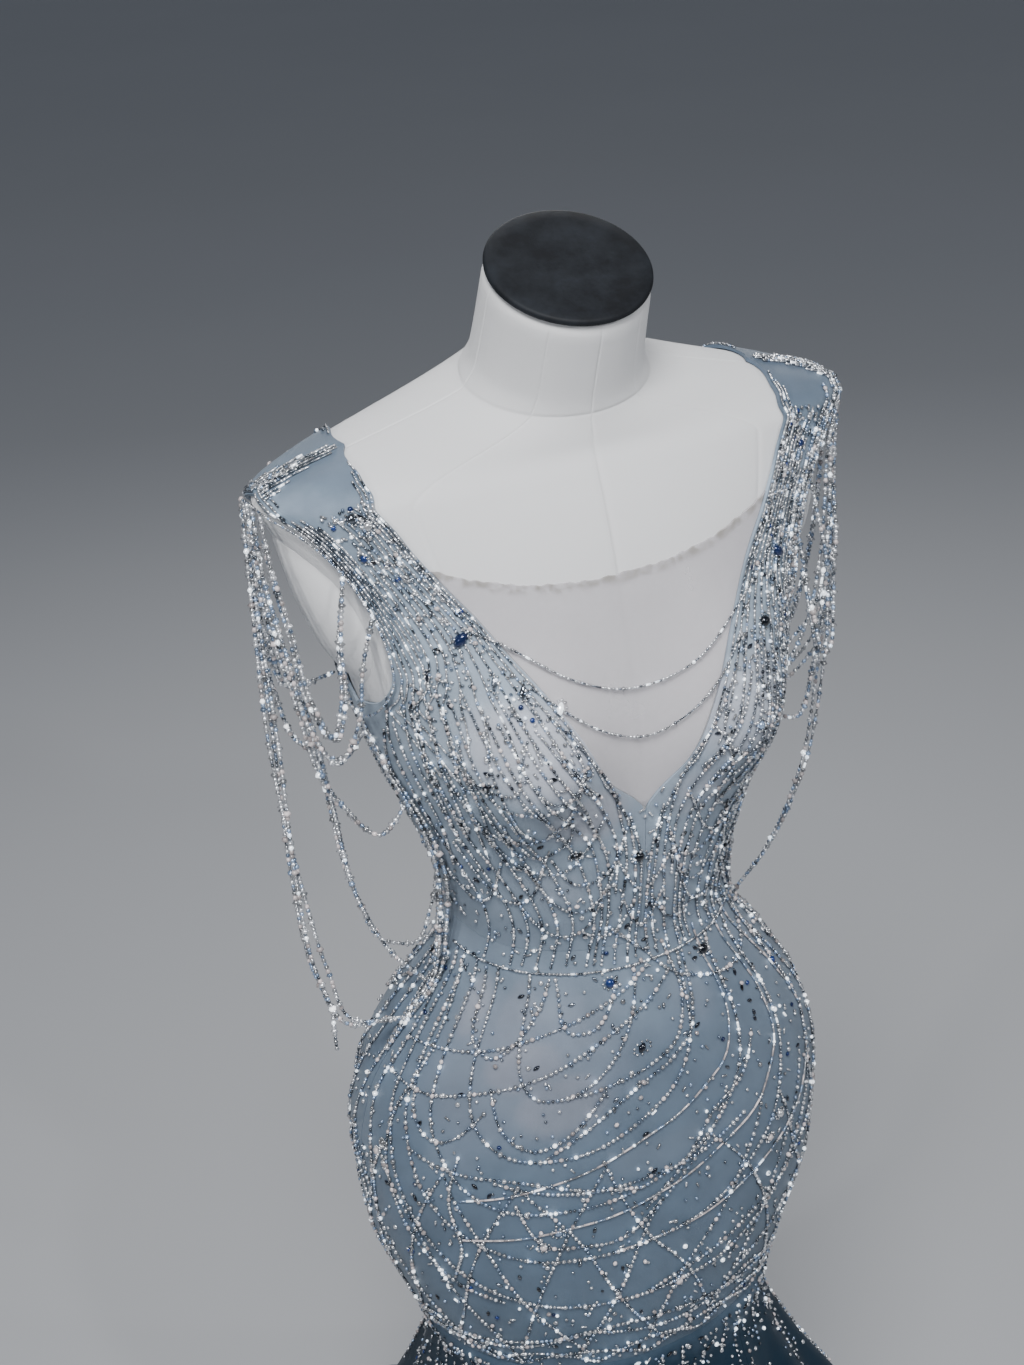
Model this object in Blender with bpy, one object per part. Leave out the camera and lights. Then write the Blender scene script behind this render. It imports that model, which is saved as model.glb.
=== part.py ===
"""Beaded mermaid evening dress worn by a limbless dress form on a round stand.

Metres, +Z up, floor at z = 0, origin under the middle of the stand's base.
The dress faces -Y, and the wearer's right hand side is at -X.

Two numbers place a point on the figure.  The angle runs round it: 0 at the
centre front, +90 at the wearer's left side, 180 at the centre back.  The level
is the height above the floor.  Every piece of cloth is a wall a little way out
from the figure, cut along seams that the tables below give as angles, half
widths and levels.
"""
import math

import bmesh
import bpy
import numpy as np
from mathutils import Matrix

# ------------------------------------------------------------ driving sizes
CLOTH_IN = 0.0006        # inner face of the cloth, out from the figure
WALL = 0.0016            # net with its lining
CLOTH_OUT = CLOTH_IN + WALL
SEAM = 0.0003            # gap between two pieces where they meet
REST = 0.0011            # gap under a strand that lies on faceted cloth
ARMHOLE_REST = 0.0022    # the same where the shoulder curves most
CHAIN_REST = 0.0004      # the same over the flatter cloth of the chest
FORM_INSET = 0.0025      # the form's cover lies inside the figure
SIDE_GAP = 0.09          # degrees, half a seam gap at the side seams

WAIST = 1.040            # level of the waist seam
FORM_BOTTOM = 0.720
FLARE_SEAM_FRONT = 0.655
FLARE_SEAM_BACK = 0.685

POLE_RADIUS = 0.0145
BASE_RADIUS = 0.150
BASE_HEIGHT = 0.018
BASE_EDGE = 0.003        # bevel round the top of the base
COLLAR_RADIUS = 0.032
COLLAR_HEIGHT = 0.014
CAP_THICKNESS = 0.005
PLATE_LEVEL = 1.305      # middle of the pad that closes each armhole
PLATE_HALF_HEIGHT = 0.054
PLATE_ANGLE = 21.5       # degrees each way round the figure
PLATE_THICKNESS = 0.015
PLATE_PROFILE = (        # share of its size, share of its thickness
    (0.0, 0.0), (0.6, 0.0), (1.0, 0.0), (1.0, 0.45), (0.93, 0.75), (0.75, 0.95),
    (0.4, 1.0), (0.0, 1.0))

BEAD_STRAND = 0.0021     # radius of a strand of 4 mm beads
FINE_STRAND = 0.0015     # radius of a strand of 3 mm beads
RING_POINTS = 35         # points of the cord round an armhole
SIDE_POINTS = 21         # of the cord down the side
SWAG_POINTS = 17         # of each strand that hangs from a shoulder
CHAIN_POINTS = 26        # of a chain across the neckline
FRONT_POINTS, BACK_POINTS = 25, 19   # of each festoon, front and back
WAIST_STEP = 7.0         # degrees between the points of a waist strand
WAIST_SWELL = 1.15       # how much thicker the waist strand is than a festoon


def table(columns, rows):
    """Columns of a short table as arrays, by name."""
    return dict(zip(columns, np.array(rows, float).T))


# Sections of the figure, from mid thigh to the top of the neck.
FIGURE = table(
    ("level", "half_width", "front", "back", "middle", "lean", "power"), (
        (0.560, 0.124, 0.104, 0.116, 0.012, 0, 2.00),
        (0.620, 0.136, 0.109, 0.122, 0.012, 0, 2.00),
        (0.660, 0.148, 0.113, 0.127, 0.013, 0, 2.05),
        (0.700, 0.162, 0.118, 0.132, 0.014, 0, 2.10),
        (0.780, 0.184, 0.126, 0.138, 0.014, 0, 2.15),
        (0.840, 0.187, 0.128, 0.135, 0.014, 0, 2.20),
        (0.900, 0.175, 0.124, 0.125, 0.012, 0, 2.20),
        (0.950, 0.147, 0.116, 0.109, 0.007, 0, 2.20),
        (0.985, 0.122, 0.106, 0.096, 0.003, 0, 2.15),
        (1.010, 0.108, 0.098, 0.088, 0.000, 0, 2.10),
        (1.040, 0.101, 0.093, 0.083, 0.000, 0, 2.10),
        (1.075, 0.107, 0.097, 0.082, -0.002, 0, 2.10),
        (1.120, 0.122, 0.104, 0.088, -0.002, 0, 2.10),
        (1.170, 0.140, 0.108, 0.097, 0.000, 0, 2.10),
        (1.210, 0.152, 0.106, 0.103, 0.000, 0, 2.15),
        (1.250, 0.160, 0.102, 0.106, 0.000, 0, 2.20),
        (1.290, 0.170, 0.094, 0.106, 0.000, 0, 2.25),
        (1.330, 0.184, 0.085, 0.102, 0.000, 0, 2.20),
        (1.365, 0.204, 0.076, 0.092, 0.002, 1, 2.05),
        (1.385, 0.212, 0.070, 0.084, 0.003, 3, 2.00),
        (1.398, 0.188, 0.066, 0.077, 0.003, 6, 2.00),
        (1.408, 0.154, 0.063, 0.072, 0.002, 9, 2.00),
        (1.418, 0.118, 0.061, 0.067, 0.000, 12, 2.00),
        (1.428, 0.085, 0.059, 0.062, -0.002, 15, 2.00),
        (1.436, 0.066, 0.057, 0.058, -0.004, 17, 2.00),
        (1.452, 0.058, 0.055, 0.055, -0.010, 19, 2.00),
        (1.508, 0.054, 0.054, 0.054, -0.033, 26, 2.00)))

BUST_X = 0.080           # each cup is a soft bump about this point
BUST_LEVEL = 1.200
BUST_HEIGHT = 0.034
BUST_WIDTH = 0.050
BUST_RISE = 0.062
BUST_FALL = 0.046
FORM_BUST = 0.84         # the form's own cups are this much lower

# Bodice halves, from the waist up over the shoulder: where each row of cloth
# starts at the middle and ends at the side seam or the armhole.
FRONT_ROWS = table(
    ("level_in", "half_in", "level_out", "angle_out"), (
        (1.040, 0.000, 1.040, 90.0),
        (1.078, 0.000, 1.073, 90.0),
        (1.116, 0.000, 1.109, 90.0),
        (1.152, 0.000, 1.145, 90.0),
        (1.190, 0.032, 1.178, 90.0),
        (1.225, 0.049, 1.209, 90.0),
        (1.258, 0.067, 1.230, 90.0),
        (1.285, 0.084, 1.243, 74.0),
        (1.308, 0.098, 1.268, 62.5),
        (1.332, 0.115, 1.298, 60.0),
        (1.354, 0.129, 1.326, 61.0),
        (1.374, 0.140, 1.351, 62.5),
        (1.391, 0.147, 1.371, 66.5),
        (1.404, 0.149, 1.384, 74.5),
        (1.410, 0.145, 1.389, 90.0)))
BACK_ROWS = table(
    ("level_in", "half_in", "level_out", "angle_out"), (
        (1.040, 0.000, 1.040, 90.0),
        (1.078, 0.000, 1.073, 90.0),
        (1.116, 0.000, 1.109, 90.0),
        (1.152, 0.000, 1.145, 90.0),
        (1.184, 0.000, 1.178, 90.0),
        (1.212, 0.000, 1.209, 90.0),
        (1.240, 0.020, 1.230, 90.0),
        (1.270, 0.042, 1.246, 103.0),
        (1.300, 0.064, 1.273, 111.0),
        (1.330, 0.086, 1.303, 114.5),
        (1.356, 0.106, 1.332, 115.0),
        (1.379, 0.124, 1.355, 113.0),
        (1.396, 0.138, 1.373, 107.0),
        (1.406, 0.145, 1.385, 98.0),
        (1.410, 0.145, 1.389, 90.0)))
BODICE_COLUMNS = 10
FRONT_SPLIT = (3, 9)     # rows between which a panel has rows halfway too
BACK_SPLIT = (11, 14)

# The fine net that fills the neckline.  Its rows share the neckline's levels,
# and its top edge sags between the straps.
NET_BOTTOM = 1.158
NET_FLAT = 1.190         # the rows sag more and more above this level
NET_TOP = 1.343
NET_SAG = 0.023
NET_WALL = 0.0010
NET_COLUMNS = 11

SKIRT_LEVELS = (1.040, 1.018, 0.996, 0.972, 0.946, 0.918, 0.888, 0.856, 0.822,
                0.786, 0.748, 0.710, 0.682)
SKIRT_TURN = 0.748       # below this the levels lean towards the sloping seam
SKIRT_STEP = 10.0        # degrees between the columns of a skirt panel

# The flared skirt, from the seam down to the hem.  The back is carried over to
# the wearer's left by the sweep.
FLARE = table(
    ("level_front", "level_back", "front", "side", "back", "sweep", "fold"), (
        (0.655, 0.685, 0.000, 0.000, 0.000, 0.000, 0.000),
        (0.615, 0.640, 0.112, 0.138, 0.132, 0.000, 0.001),
        (0.565, 0.580, 0.119, 0.147, 0.144, 0.002, 0.004),
        (0.505, 0.515, 0.135, 0.168, 0.168, 0.006, 0.009),
        (0.435, 0.440, 0.160, 0.200, 0.204, 0.013, 0.015),
        (0.355, 0.355, 0.192, 0.240, 0.254, 0.024, 0.022),
        (0.265, 0.260, 0.228, 0.284, 0.322, 0.040, 0.030),
        (0.175, 0.165, 0.264, 0.328, 0.402, 0.060, 0.038),
        (0.095, 0.085, 0.296, 0.366, 0.484, 0.080, 0.044),
        (0.040, 0.032, 0.318, 0.392, 0.536, 0.104, 0.047),
        (0.006, 0.005, 0.332, 0.408, 0.578, 0.118, 0.046)))
FLARE_MIDDLE = 0.013
FLUTES = 15
GORE_COLUMNS = 17
GORES = (                # name, first angle, last angle
    ("flare_front", -36.0, 36.0),
    ("flare_side_left", 36.0, 108.0),
    ("flare_back_left", 108.0, 180.0),
    ("flare_back_right", 180.0, 252.0),
    ("flare_side_right", 252.0, 324.0))

# Strands of beads.  Each lies on the cloth through angle and level.
CHEST_CHAINS = {
    "chest_chain_upper": ((-36, 1.306), (-27, 1.290), (-15, 1.263), (0, 1.246),
                          (12, 1.253), (24, 1.275), (33, 1.292), (40, 1.308)),
    "chest_chain_lower": ((-25, 1.263), (-17, 1.240), (-8, 1.221), (1, 1.212),
                          (10, 1.221), (19, 1.242), (27, 1.266))}
WAIST_STRAND_LEVEL = 1.022
WAIST_STRAND_END = 86.0
# Festoons hang from the waist strand: both ends, and the point between them.
FRONT_FESTOONS = table(
    ("from_angle", "to_angle", "low_angle", "low_level", "spread"), (
        (-44, -4, -27, 0.930, 1.10),
        (-58, 14, -25, 0.880, 1.16),
        (-69, 30, -20, 0.832, 1.20),
        (-77, 46, -12, 0.782, 1.24),
        (-82, 62, -5, 0.728, 1.26)))
BACK_FESTOONS = table(
    ("from_angle", "to_angle", "low_angle", "low_level", "spread"), (
        (112, 150, 132, 0.930, 1.10),
        (102, 162, 134, 0.860, 1.14),
        (96, 170, 136, 0.785, 1.16)))
BACK_WAIST_STRAND = (94.0, 174.0)

# A cord of beads follows the armhole, and a second one runs down the side,
# bridging the hollow of the waist.  Each starts and ends on the cloth.
ARMHOLE_PATH = (
    (90.0, 1.386), (74.5, 1.383), (66.5, 1.373), (61.5, 1.354), (59.5, 1.327),
    (58.5, 1.298), (61.0, 1.267), (72.5, 1.240), (90.0, 1.226), (103.5, 1.242),
    (112.0, 1.270), (116.0, 1.302), (116.5, 1.332), (114.5, 1.357),
    (108.0, 1.372), (98.0, 1.383))
SIDE_CORD_TOP = ((90.0, 1.226), (83.0, 1.186), (78.0, 1.150))
SIDE_CORD_FREE = ((0.120, -0.018, 1.095), (0.118, -0.006, 1.045))
SIDE_CORD_FOOT = ((90.0, 0.985), (90.0, 0.960), (90.0, 0.930))

# Strands that hang from the shoulder round the place of an arm.  Each starts
# and ends on a cord, at an angle and a level, and hangs through points given
# across, back and up for the wearer's left side.
SWAGS_LEFT = (
    ((78.5, 1.384), ((0.199, -0.022, 1.352), (0.198, -0.030, 1.305), (0.194, -0.038, 1.274),
                     (0.184, -0.047, 1.266), (0.176, -0.052, 1.290)), (60.0, 1.336)),
    ((81.0, 1.385), ((0.204, -0.019, 1.345), (0.199, -0.024, 1.288), (0.192, -0.034, 1.232),
                     (0.184, -0.044, 1.202), (0.171, -0.056, 1.205), (0.160, -0.062, 1.240)),
     (58.5, 1.298)),
    ((87.0, 1.386), ((0.211, -0.008, 1.335), (0.204, -0.010, 1.250), (0.187, -0.020, 1.170),
                     (0.164, -0.036, 1.145)), (79.0, 1.158)),
    ((91.5, 1.386), ((0.214, 0.000, 1.335), (0.215, 0.000, 1.290), (0.214, 0.000, 1.245),
                     (0.205, 0.000, 1.160), (0.187, 0.000, 1.070), (0.158, 0.000, 1.014)),
     (90.0, 0.978)),
    ((95.5, 1.384), ((0.212, 0.010, 1.320), (0.202, 0.014, 1.240), (0.188, 0.018, 1.192),
                     (0.170, 0.018, 1.176)), (86.5, 1.212)),
    ((104.0, 1.377), ((0.200, 0.034, 1.320), (0.193, 0.042, 1.262), (0.184, 0.052, 1.226)),
     (103.5, 1.242)))
SWAGS_RIGHT = (
    ((78.5, 1.384), ((0.213, -0.020, 1.350), (0.209, -0.031, 1.305), (0.206, -0.045, 1.262),
                     (0.196, -0.057, 1.237), (0.188, -0.059, 1.262), (0.184, -0.056, 1.305)),
     (60.5, 1.346)),
    ((82.5, 1.385), ((0.216, -0.014, 1.343), (0.209, -0.024, 1.285), (0.205, -0.038, 1.243),
                     (0.194, -0.056, 1.219), (0.179, -0.062, 1.246), (0.171, -0.060, 1.285)),
     (59.0, 1.315)),
    ((87.0, 1.386), ((0.218, -0.008, 1.330), (0.205, -0.010, 1.250), (0.187, -0.020, 1.170),
                     (0.164, -0.036, 1.145)), (79.0, 1.158)),
    ((91.5, 1.386), ((0.213, 0.000, 1.310), (0.192, 0.000, 1.220), (0.185, 0.000, 1.165),
                     (0.172, 0.000, 1.070), (0.155, 0.000, 1.026)), (90.0, 0.984)),
    ((95.5, 1.384), ((0.219, 0.006, 1.320), (0.218, 0.006, 1.200), (0.218, 0.006, 1.100),
                     (0.209, 0.007, 1.014), (0.192, 0.006, 0.970)), (90.0, 0.956)),
    ((99.0, 1.382), ((0.217, 0.016, 1.320), (0.208, 0.024, 1.240), (0.192, 0.030, 1.192),
                     (0.170, 0.026, 1.176)), (86.5, 1.212)),
    ((106.5, 1.374), ((0.212, 0.034, 1.320), (0.204, 0.046, 1.262), (0.190, 0.058, 1.224)),
     (103.5, 1.242)))

# The zip's slider and pull tab at the top of the centre back seam.
ZIP_LEVEL = 1.196
SLIDER = (0.0050, 0.0020, 0.0080)
CHEEK = (0.0010, 0.0034, 0.0028)
PIN_RADIUS = 0.0006
PIN_OUT = 0.0024         # from the slider's face to the pin
EYE_RADIUS = 0.0009
EYE_OUTER = 0.0018
TAB_WIDTH = 0.0024
TAB_LENGTH = 0.0180


# ------------------------------------------------------------- the surfaces
def smooth(at, xs, ys):
    """Value of a smooth curve through (xs, ys) that never overshoots.

    A cubic in each stretch; the slope at a point is the harmonic mean of the
    two chords there, and level where they turn.
    """
    chord = np.diff(ys) / np.diff(xs)
    left, right = chord[:-1], chord[1:]
    product = left * right
    total = np.where(product > 0, left + right, 1.0)
    slope = np.concatenate([chord[:1], np.where(product > 0, 2 * product / total, 0.0),
                            chord[-1:]])
    at = np.clip(at, xs[0], xs[-1])
    i = np.clip(np.searchsorted(xs, at, side="right") - 1, 0, len(xs) - 2)
    span = xs[i + 1] - xs[i]
    t = (at - xs[i]) / span
    return ((2 * t**3 - 3 * t**2 + 1) * ys[i] + (t**3 - 2 * t**2 + t) * span * slope[i]
            + (3 * t**2 - 2 * t**3) * ys[i + 1] + (t**3 - t**2) * span * slope[i + 1])


def signed_power(value, power):
    """sign(v) |v|^p"""
    return np.sign(value) * np.abs(value) ** power


def bust(x, level, face, size):
    """Height of the two cups: a soft bump at each side, only on the front."""
    fall = np.where(level > BUST_LEVEL, BUST_RISE, BUST_FALL)
    across = (np.exp(-((x - BUST_X) / BUST_WIDTH) ** 2)
              + np.exp(-((x + BUST_X) / BUST_WIDTH) ** 2))
    turn = np.clip(1.6 * face, 0.0, 1.0)
    return size * BUST_HEIGHT * across * np.exp(-((level - BUST_LEVEL) / fall) ** 2) \
        * turn**2 * (3 - 2 * turn)


def figure(angle, level, cups=1.0):
    """Point of the figure: a superellipse at each level, tilted at the neck.

    x = w sin(a)^(2/p), y = m - d cos(a)^(2/p), with d the front or back depth
    """
    angle, level = np.broadcast_arrays(np.radians(angle), np.asarray(level, float))
    get = {name: smooth(level, FIGURE["level"], FIGURE[name]) for name in FIGURE}
    facing = np.cos(angle)
    depth = np.where(facing > 0, get["front"], get["back"])
    x = get["half_width"] * signed_power(np.sin(angle), 2 / get["power"])
    forward = depth * signed_power(facing, 2 / get["power"])
    forward = forward + bust(x, level, forward / depth, cups)
    lean = np.radians(get["lean"])
    return np.stack([x, get["middle"] - forward * np.cos(lean),
                     level - forward * np.sin(lean)], -1)


def unit(vectors):
    """Vectors of length one."""
    return vectors / np.linalg.norm(vectors, axis=-1, keepdims=True)


def skin(angle, level, out, level_walls=False, cups=1.0):
    """Point a distance out from the figure, or straight out sideways."""
    step_angle, step_level = 0.1, 0.0005
    across = (figure(angle + step_angle, level, cups)
              - figure(angle - step_angle, level, cups))
    up = figure(angle, level + step_level, cups) - figure(angle, level - step_level, cups)
    normal = np.cross(across, up)
    if level_walls:
        normal = normal * (1, 1, 0)
    return figure(angle, level, cups) + np.asarray(out)[..., None] * unit(normal)


def angle_at(half_width, level):
    """Angle on the front of the figure where it is this far from the middle."""
    width = smooth(level, FIGURE["level"], FIGURE["half_width"])
    power = smooth(level, FIGURE["level"], FIGURE["power"])
    return np.degrees(np.arcsin(np.clip(half_width / width, 0, 1) ** (power / 2)))


def flare_seam(angle):
    """Level of the seam between the fitted skirt and the flare."""
    half = (FLARE_SEAM_BACK - FLARE_SEAM_FRONT) / 2
    return FLARE_SEAM_FRONT + half * (1 - np.cos(np.radians(angle)))


def flutes(angle):
    """Height of the flutes round the hem, 0 to about 1.3, uneven like cloth."""
    a = np.radians(angle)
    phase = FLUTES * a + 0.9 * np.sin(2 * a + 0.7) + 0.6 * np.sin(3 * a + 2.1)
    uneven = 1 + 0.22 * np.sin(2 * a + 0.2) + 0.14 * np.sin(5 * a + 0.4)
    return (0.5 - 0.5 * np.cos(phase)) ** 1.15 * uneven


def flare(angle, down):
    """Middle of the flare's wall; down runs 0 at the seam to 1 at the hem."""
    angle, down = np.broadcast_arrays(np.asarray(angle, float), down)
    a = np.radians(angle)
    steps = np.linspace(0, 1, len(FLARE["fold"]))
    seam = figure(angle, flare_seam(angle)) * (1, 1, 0)
    seam_front = figure(0.0, FLARE_SEAM_FRONT)
    seam_side = figure(90.0, flare_seam(90.0))
    seam_back = figure(180.0, FLARE_SEAM_BACK)
    starts = {"front": FLARE_MIDDLE - seam_front[1], "side": seam_side[0],
              "back": seam_back[1] - FLARE_MIDDLE}
    get = {}
    for name in FLARE:
        values = FLARE[name].copy()
        values[0] = starts.get(name, values[0])
        get[name] = smooth(down, steps, values)
    fold = get["fold"] * flutes(angle)
    depth = np.where(np.cos(a) > 0, get["front"], get["back"]) + fold
    half = (get["level_back"] - get["level_front"]) / 2
    level = get["level_front"] + half * (1 - np.cos(a))
    across = (get["side"] + fold) * np.sin(a) + get["sweep"] * (1 - np.cos(a)) / 2
    point = np.stack([across, FLARE_MIDDLE - depth * np.cos(a), level], -1)
    blend = np.clip(1 - down * (len(steps) - 1), 0, 1)[..., None]
    flat = point * (1, 1, 0)
    return point + blend * (seam - flat)


def flare_wall(angle, down, out):
    """Point out from the middle of the flare's wall, level at the seam."""
    step_angle, step_down = 0.1, 0.002
    across = flare(angle + step_angle, down) - flare(angle - step_angle, down)
    up = flare(angle, np.maximum(down - step_down, 0)) - flare(angle, down + step_down)
    normal = unit(np.cross(across, up))
    flat = unit(normal * (1, 1, 0))
    at_seam = (np.asarray(down) < 1e-6)[..., None]
    middle = (CLOTH_IN + WALL / 2) * flat
    return flare(angle, down) + middle + out * np.where(at_seam, flat, normal)


# ------------------------------------------------------------- mesh helpers
def finish(name, bm, material, smooth_angle=40.0):
    """Turn a bmesh into a named object with its material, faces outward."""
    bmesh.ops.recalc_face_normals(bm, faces=bm.faces)
    mesh = bpy.data.meshes.new(name)
    bm.to_mesh(mesh)
    bm.free()
    mesh.shade_smooth()
    mesh.set_sharp_from_angle(angle=math.radians(smooth_angle))
    mesh.materials.append(material)
    piece = bpy.data.objects.new(name, mesh)
    bpy.context.scene.collection.objects.link(piece)
    return piece


def add_grid(bm, points, closed):
    """Quads over a grid of points; returns the grid of vertices."""
    rows = [[bm.verts.new(p) for p in row] for row in points]
    for low, high in zip(rows[:-1], rows[1:]):
        count = len(low)
        for j in range(count if closed else count - 1):
            k = (j + 1) % count
            bm.faces.new((low[j], low[k], high[k], high[j]))
    return rows


def join_edges(bm, one, other, closed=False):
    """Quads between two lines of vertices."""
    count = len(one)
    for j in range(count if closed else count - 1):
        k = (j + 1) % count
        bm.faces.new((one[j], one[k], other[k], other[j]))


def shell(name, inner, outer, material):
    """A wall between two open grids of points, closed all round its rim."""
    bm = bmesh.new()
    a = add_grid(bm, inner, False)
    b = add_grid(bm, outer, False)
    join_edges(bm, a[0], b[0])
    join_edges(bm, a[-1], b[-1])
    join_edges(bm, [row[0] for row in a], [row[0] for row in b])
    join_edges(bm, [row[-1] for row in a], [row[-1] for row in b])
    return finish(name, bm, material)


def turned(name, profile, material, segments=32):
    """A solid turned about the Z axis from (radius, level) points."""
    bm = bmesh.new()
    around = np.radians(np.arange(segments) * 360.0 / segments)
    rings = [[(r * math.cos(a), r * math.sin(a), z) for a in around] for r, z in profile]
    rows = add_grid(bm, rings, True)
    bm.faces.new(rows[0])
    bm.faces.new(rows[-1])
    return finish(name, bm, material, smooth_angle=30.0)


def curve_through(points, count):
    """Evenly spaced points on a smooth curve through a few points."""
    points = np.asarray(points, float)
    length = np.concatenate([[0], np.cumsum(np.linalg.norm(np.diff(points, axis=0), axis=1))])
    tangent = np.gradient(points, length, axis=0)
    at = np.linspace(0, length[-1], count)
    i = np.clip(np.searchsorted(length, at, side="right") - 1, 0, len(length) - 2)
    span = (length[i + 1] - length[i])[:, None]
    t = ((at - length[i])[:, None]) / span
    return ((2 * t**3 - 3 * t**2 + 1) * points[i] + (t**3 - 2 * t**2 + t) * span * tangent[i]
            + (3 * t**2 - 2 * t**3) * points[i + 1] + (t**3 - t**2) * span * tangent[i + 1])


def add_tube(bm, path, radius, sides, closed=False):
    """A tube of a few sides along a path, with its ends closed."""
    path = np.asarray(path, float)
    if closed:
        along = np.roll(path, -1, axis=0) - np.roll(path, 1, axis=0)
    else:
        along = np.gradient(path, axis=0)
    along = unit(along)
    side = np.cross(along[0], (0.0, 0.0, 1.0) if abs(along[0][2]) < 0.9 else (0.0, 1.0, 0.0))
    rings = []
    for point, direction in zip(path, along):
        side = side - direction * np.dot(side, direction)
        side = side / np.linalg.norm(side)
        other = np.cross(direction, side)
        turn = np.arange(sides) * 2 * np.pi / sides + np.pi / sides
        rings.append(point + radius * (np.cos(turn)[:, None] * side
                                       + np.sin(turn)[:, None] * other))
    rows = add_grid(bm, np.array(rings), True)
    if closed:
        shift = int(np.argmin([np.linalg.norm(rings[-1][0] - corner) for corner in rings[0]]))
        join_edges(bm, rows[-1], rows[0][shift:] + rows[0][:shift], True)
    else:
        bm.faces.new(rows[0])
        bm.faces.new(rows[-1])


def strand(name, path, radius, material, sides=4):
    """One strand of beads as a tube."""
    bm = bmesh.new()
    add_tube(bm, path, radius, sides)
    return finish(name, bm, material, smooth_angle=60.0)


def fuse(piece, name, paths, radius, sides, material):
    """Unite the strands on these paths with a piece that carries them."""
    bm = bmesh.new()
    for path in paths:
        add_tube(bm, path, radius, sides)
    extra = finish(name, bm, material, smooth_angle=60.0)
    extra.hide_render = True
    extra.display_type = "WIRE"
    union = piece.modifiers.new("unite " + name, "BOOLEAN")
    union.operation = "UNION"
    union.object = extra


def mirrored(points):
    """The same points on the other side of the body."""
    return np.asarray(points) * (-1, 1, 1)


# ---------------------------------------------------------------- materials
def material(name, colour, roughness, metallic=0.0):
    """A plain material for one part."""
    new = bpy.data.materials.new(name)
    new.use_nodes = True
    shader = new.node_tree.nodes["Principled BSDF"]
    shader.inputs["Base Color"].default_value = (*colour, 1.0)
    shader.inputs["Roughness"].default_value = roughness
    shader.inputs["Metallic"].default_value = metallic
    return new


# ------------------------------------------------------------- form, stand
def form(canvas, cap_paint):
    """The limbless form: torso with neck, arm pads and neck cap."""
    angles = np.arange(0, 360, 10.0)
    levels = np.concatenate([
        (FORM_BOTTOM, 0.780, 0.840, 0.900, 0.950, 0.985, 1.010, 1.040, 1.080),
        np.linspace(1.110, 1.260, 7), np.linspace(1.290, 1.360, 4),
        (1.376, 1.386, 1.394, 1.402, 1.410, 1.418, 1.427, 1.436, 1.450, 1.478)])
    lean = math.radians(FIGURE["lean"][-1])
    normal = np.array((0.0, -math.sin(lean), math.cos(lean)))
    rim = figure(angles, FIGURE["level"][-1])
    centre = rim.mean(axis=0)
    cover = skin(angles[None, :], levels[:, None], -FORM_INSET, False, FORM_BUST)
    cover[0, :, 2] = FORM_BOTTOM
    top = centre + (1 - FORM_INSET / FIGURE["half_width"][-1]) * (rim - centre)
    bm = bmesh.new()
    rows = add_grid(bm, np.concatenate([cover, top[None]]), True)
    bm.faces.new(rows[0])
    bm.faces.new(rows[-1])
    finish("form_torso", bm, canvas, smooth_angle=50.0)

    profile = ((0.985, SEAM), (1.0, 0.0015), (0.99, 0.0038), (0.94, CAP_THICKNESS))
    bm = bmesh.new()
    rows = add_grid(bm, [centre + size * (rim - centre) + height * normal
                         for size, height in profile], True)
    bm.faces.new(rows[0])
    bm.faces.new(rows[-1])
    finish("form_neck_cap", bm, cap_paint, smooth_angle=50.0)

    around = np.radians(np.arange(0, 360, 20.0))
    for name, middle in (("form_arm_plate_left", 90.0), ("form_arm_plate_right", 270.0)):
        bm = bmesh.new()
        layers = []
        for size, out in PLATE_PROFILE:
            angle = middle + PLATE_ANGLE * size * np.cos(around)
            level = PLATE_LEVEL + PLATE_HALF_HEIGHT * size * np.sin(around)
            layers.append(skin(angle, level, out * PLATE_THICKNESS + REST - FORM_INSET))
        under, over = bm.verts.new(layers[0][0]), bm.verts.new(layers[-1][0])
        rows = add_grid(bm, layers[1:-1], True)
        for j in range(len(around)):
            k = (j + 1) % len(around)
            bm.faces.new((under, rows[0][k], rows[0][j]))
            bm.faces.new((over, rows[-1][j], rows[-1][k]))
        finish(name, bm, canvas, smooth_angle=50.0)


def stand(steel):
    """A round base, a pole and the collar under the form."""
    turned("stand_base", ((BASE_RADIUS, 0.0), (BASE_RADIUS, BASE_HEIGHT - BASE_EDGE),
                          (BASE_RADIUS - BASE_EDGE, BASE_HEIGHT)), steel, 32)
    collar_top = FORM_BOTTOM - SEAM
    collar_bottom = collar_top - COLLAR_HEIGHT
    turned("stand_pole", ((POLE_RADIUS, BASE_HEIGHT + SEAM),
                          (POLE_RADIUS, collar_bottom - SEAM)), steel, 20)
    turned("stand_collar", ((COLLAR_RADIUS * 0.7, collar_bottom),
                            (COLLAR_RADIUS, collar_bottom + COLLAR_HEIGHT * 0.4),
                            (COLLAR_RADIUS, collar_top)), steel, 20)


# ------------------------------------------------------------------- bodice
def with_halves(rows, first, last):
    """The same rows with one more halfway between each pair from first to last."""
    index = np.arange(len(rows["level_in"]), dtype=float)
    wanted = np.sort(np.concatenate([index, np.arange(first, last) + 0.5]))
    return {name: smooth(wanted, index, rows[name]) for name in rows}


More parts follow.
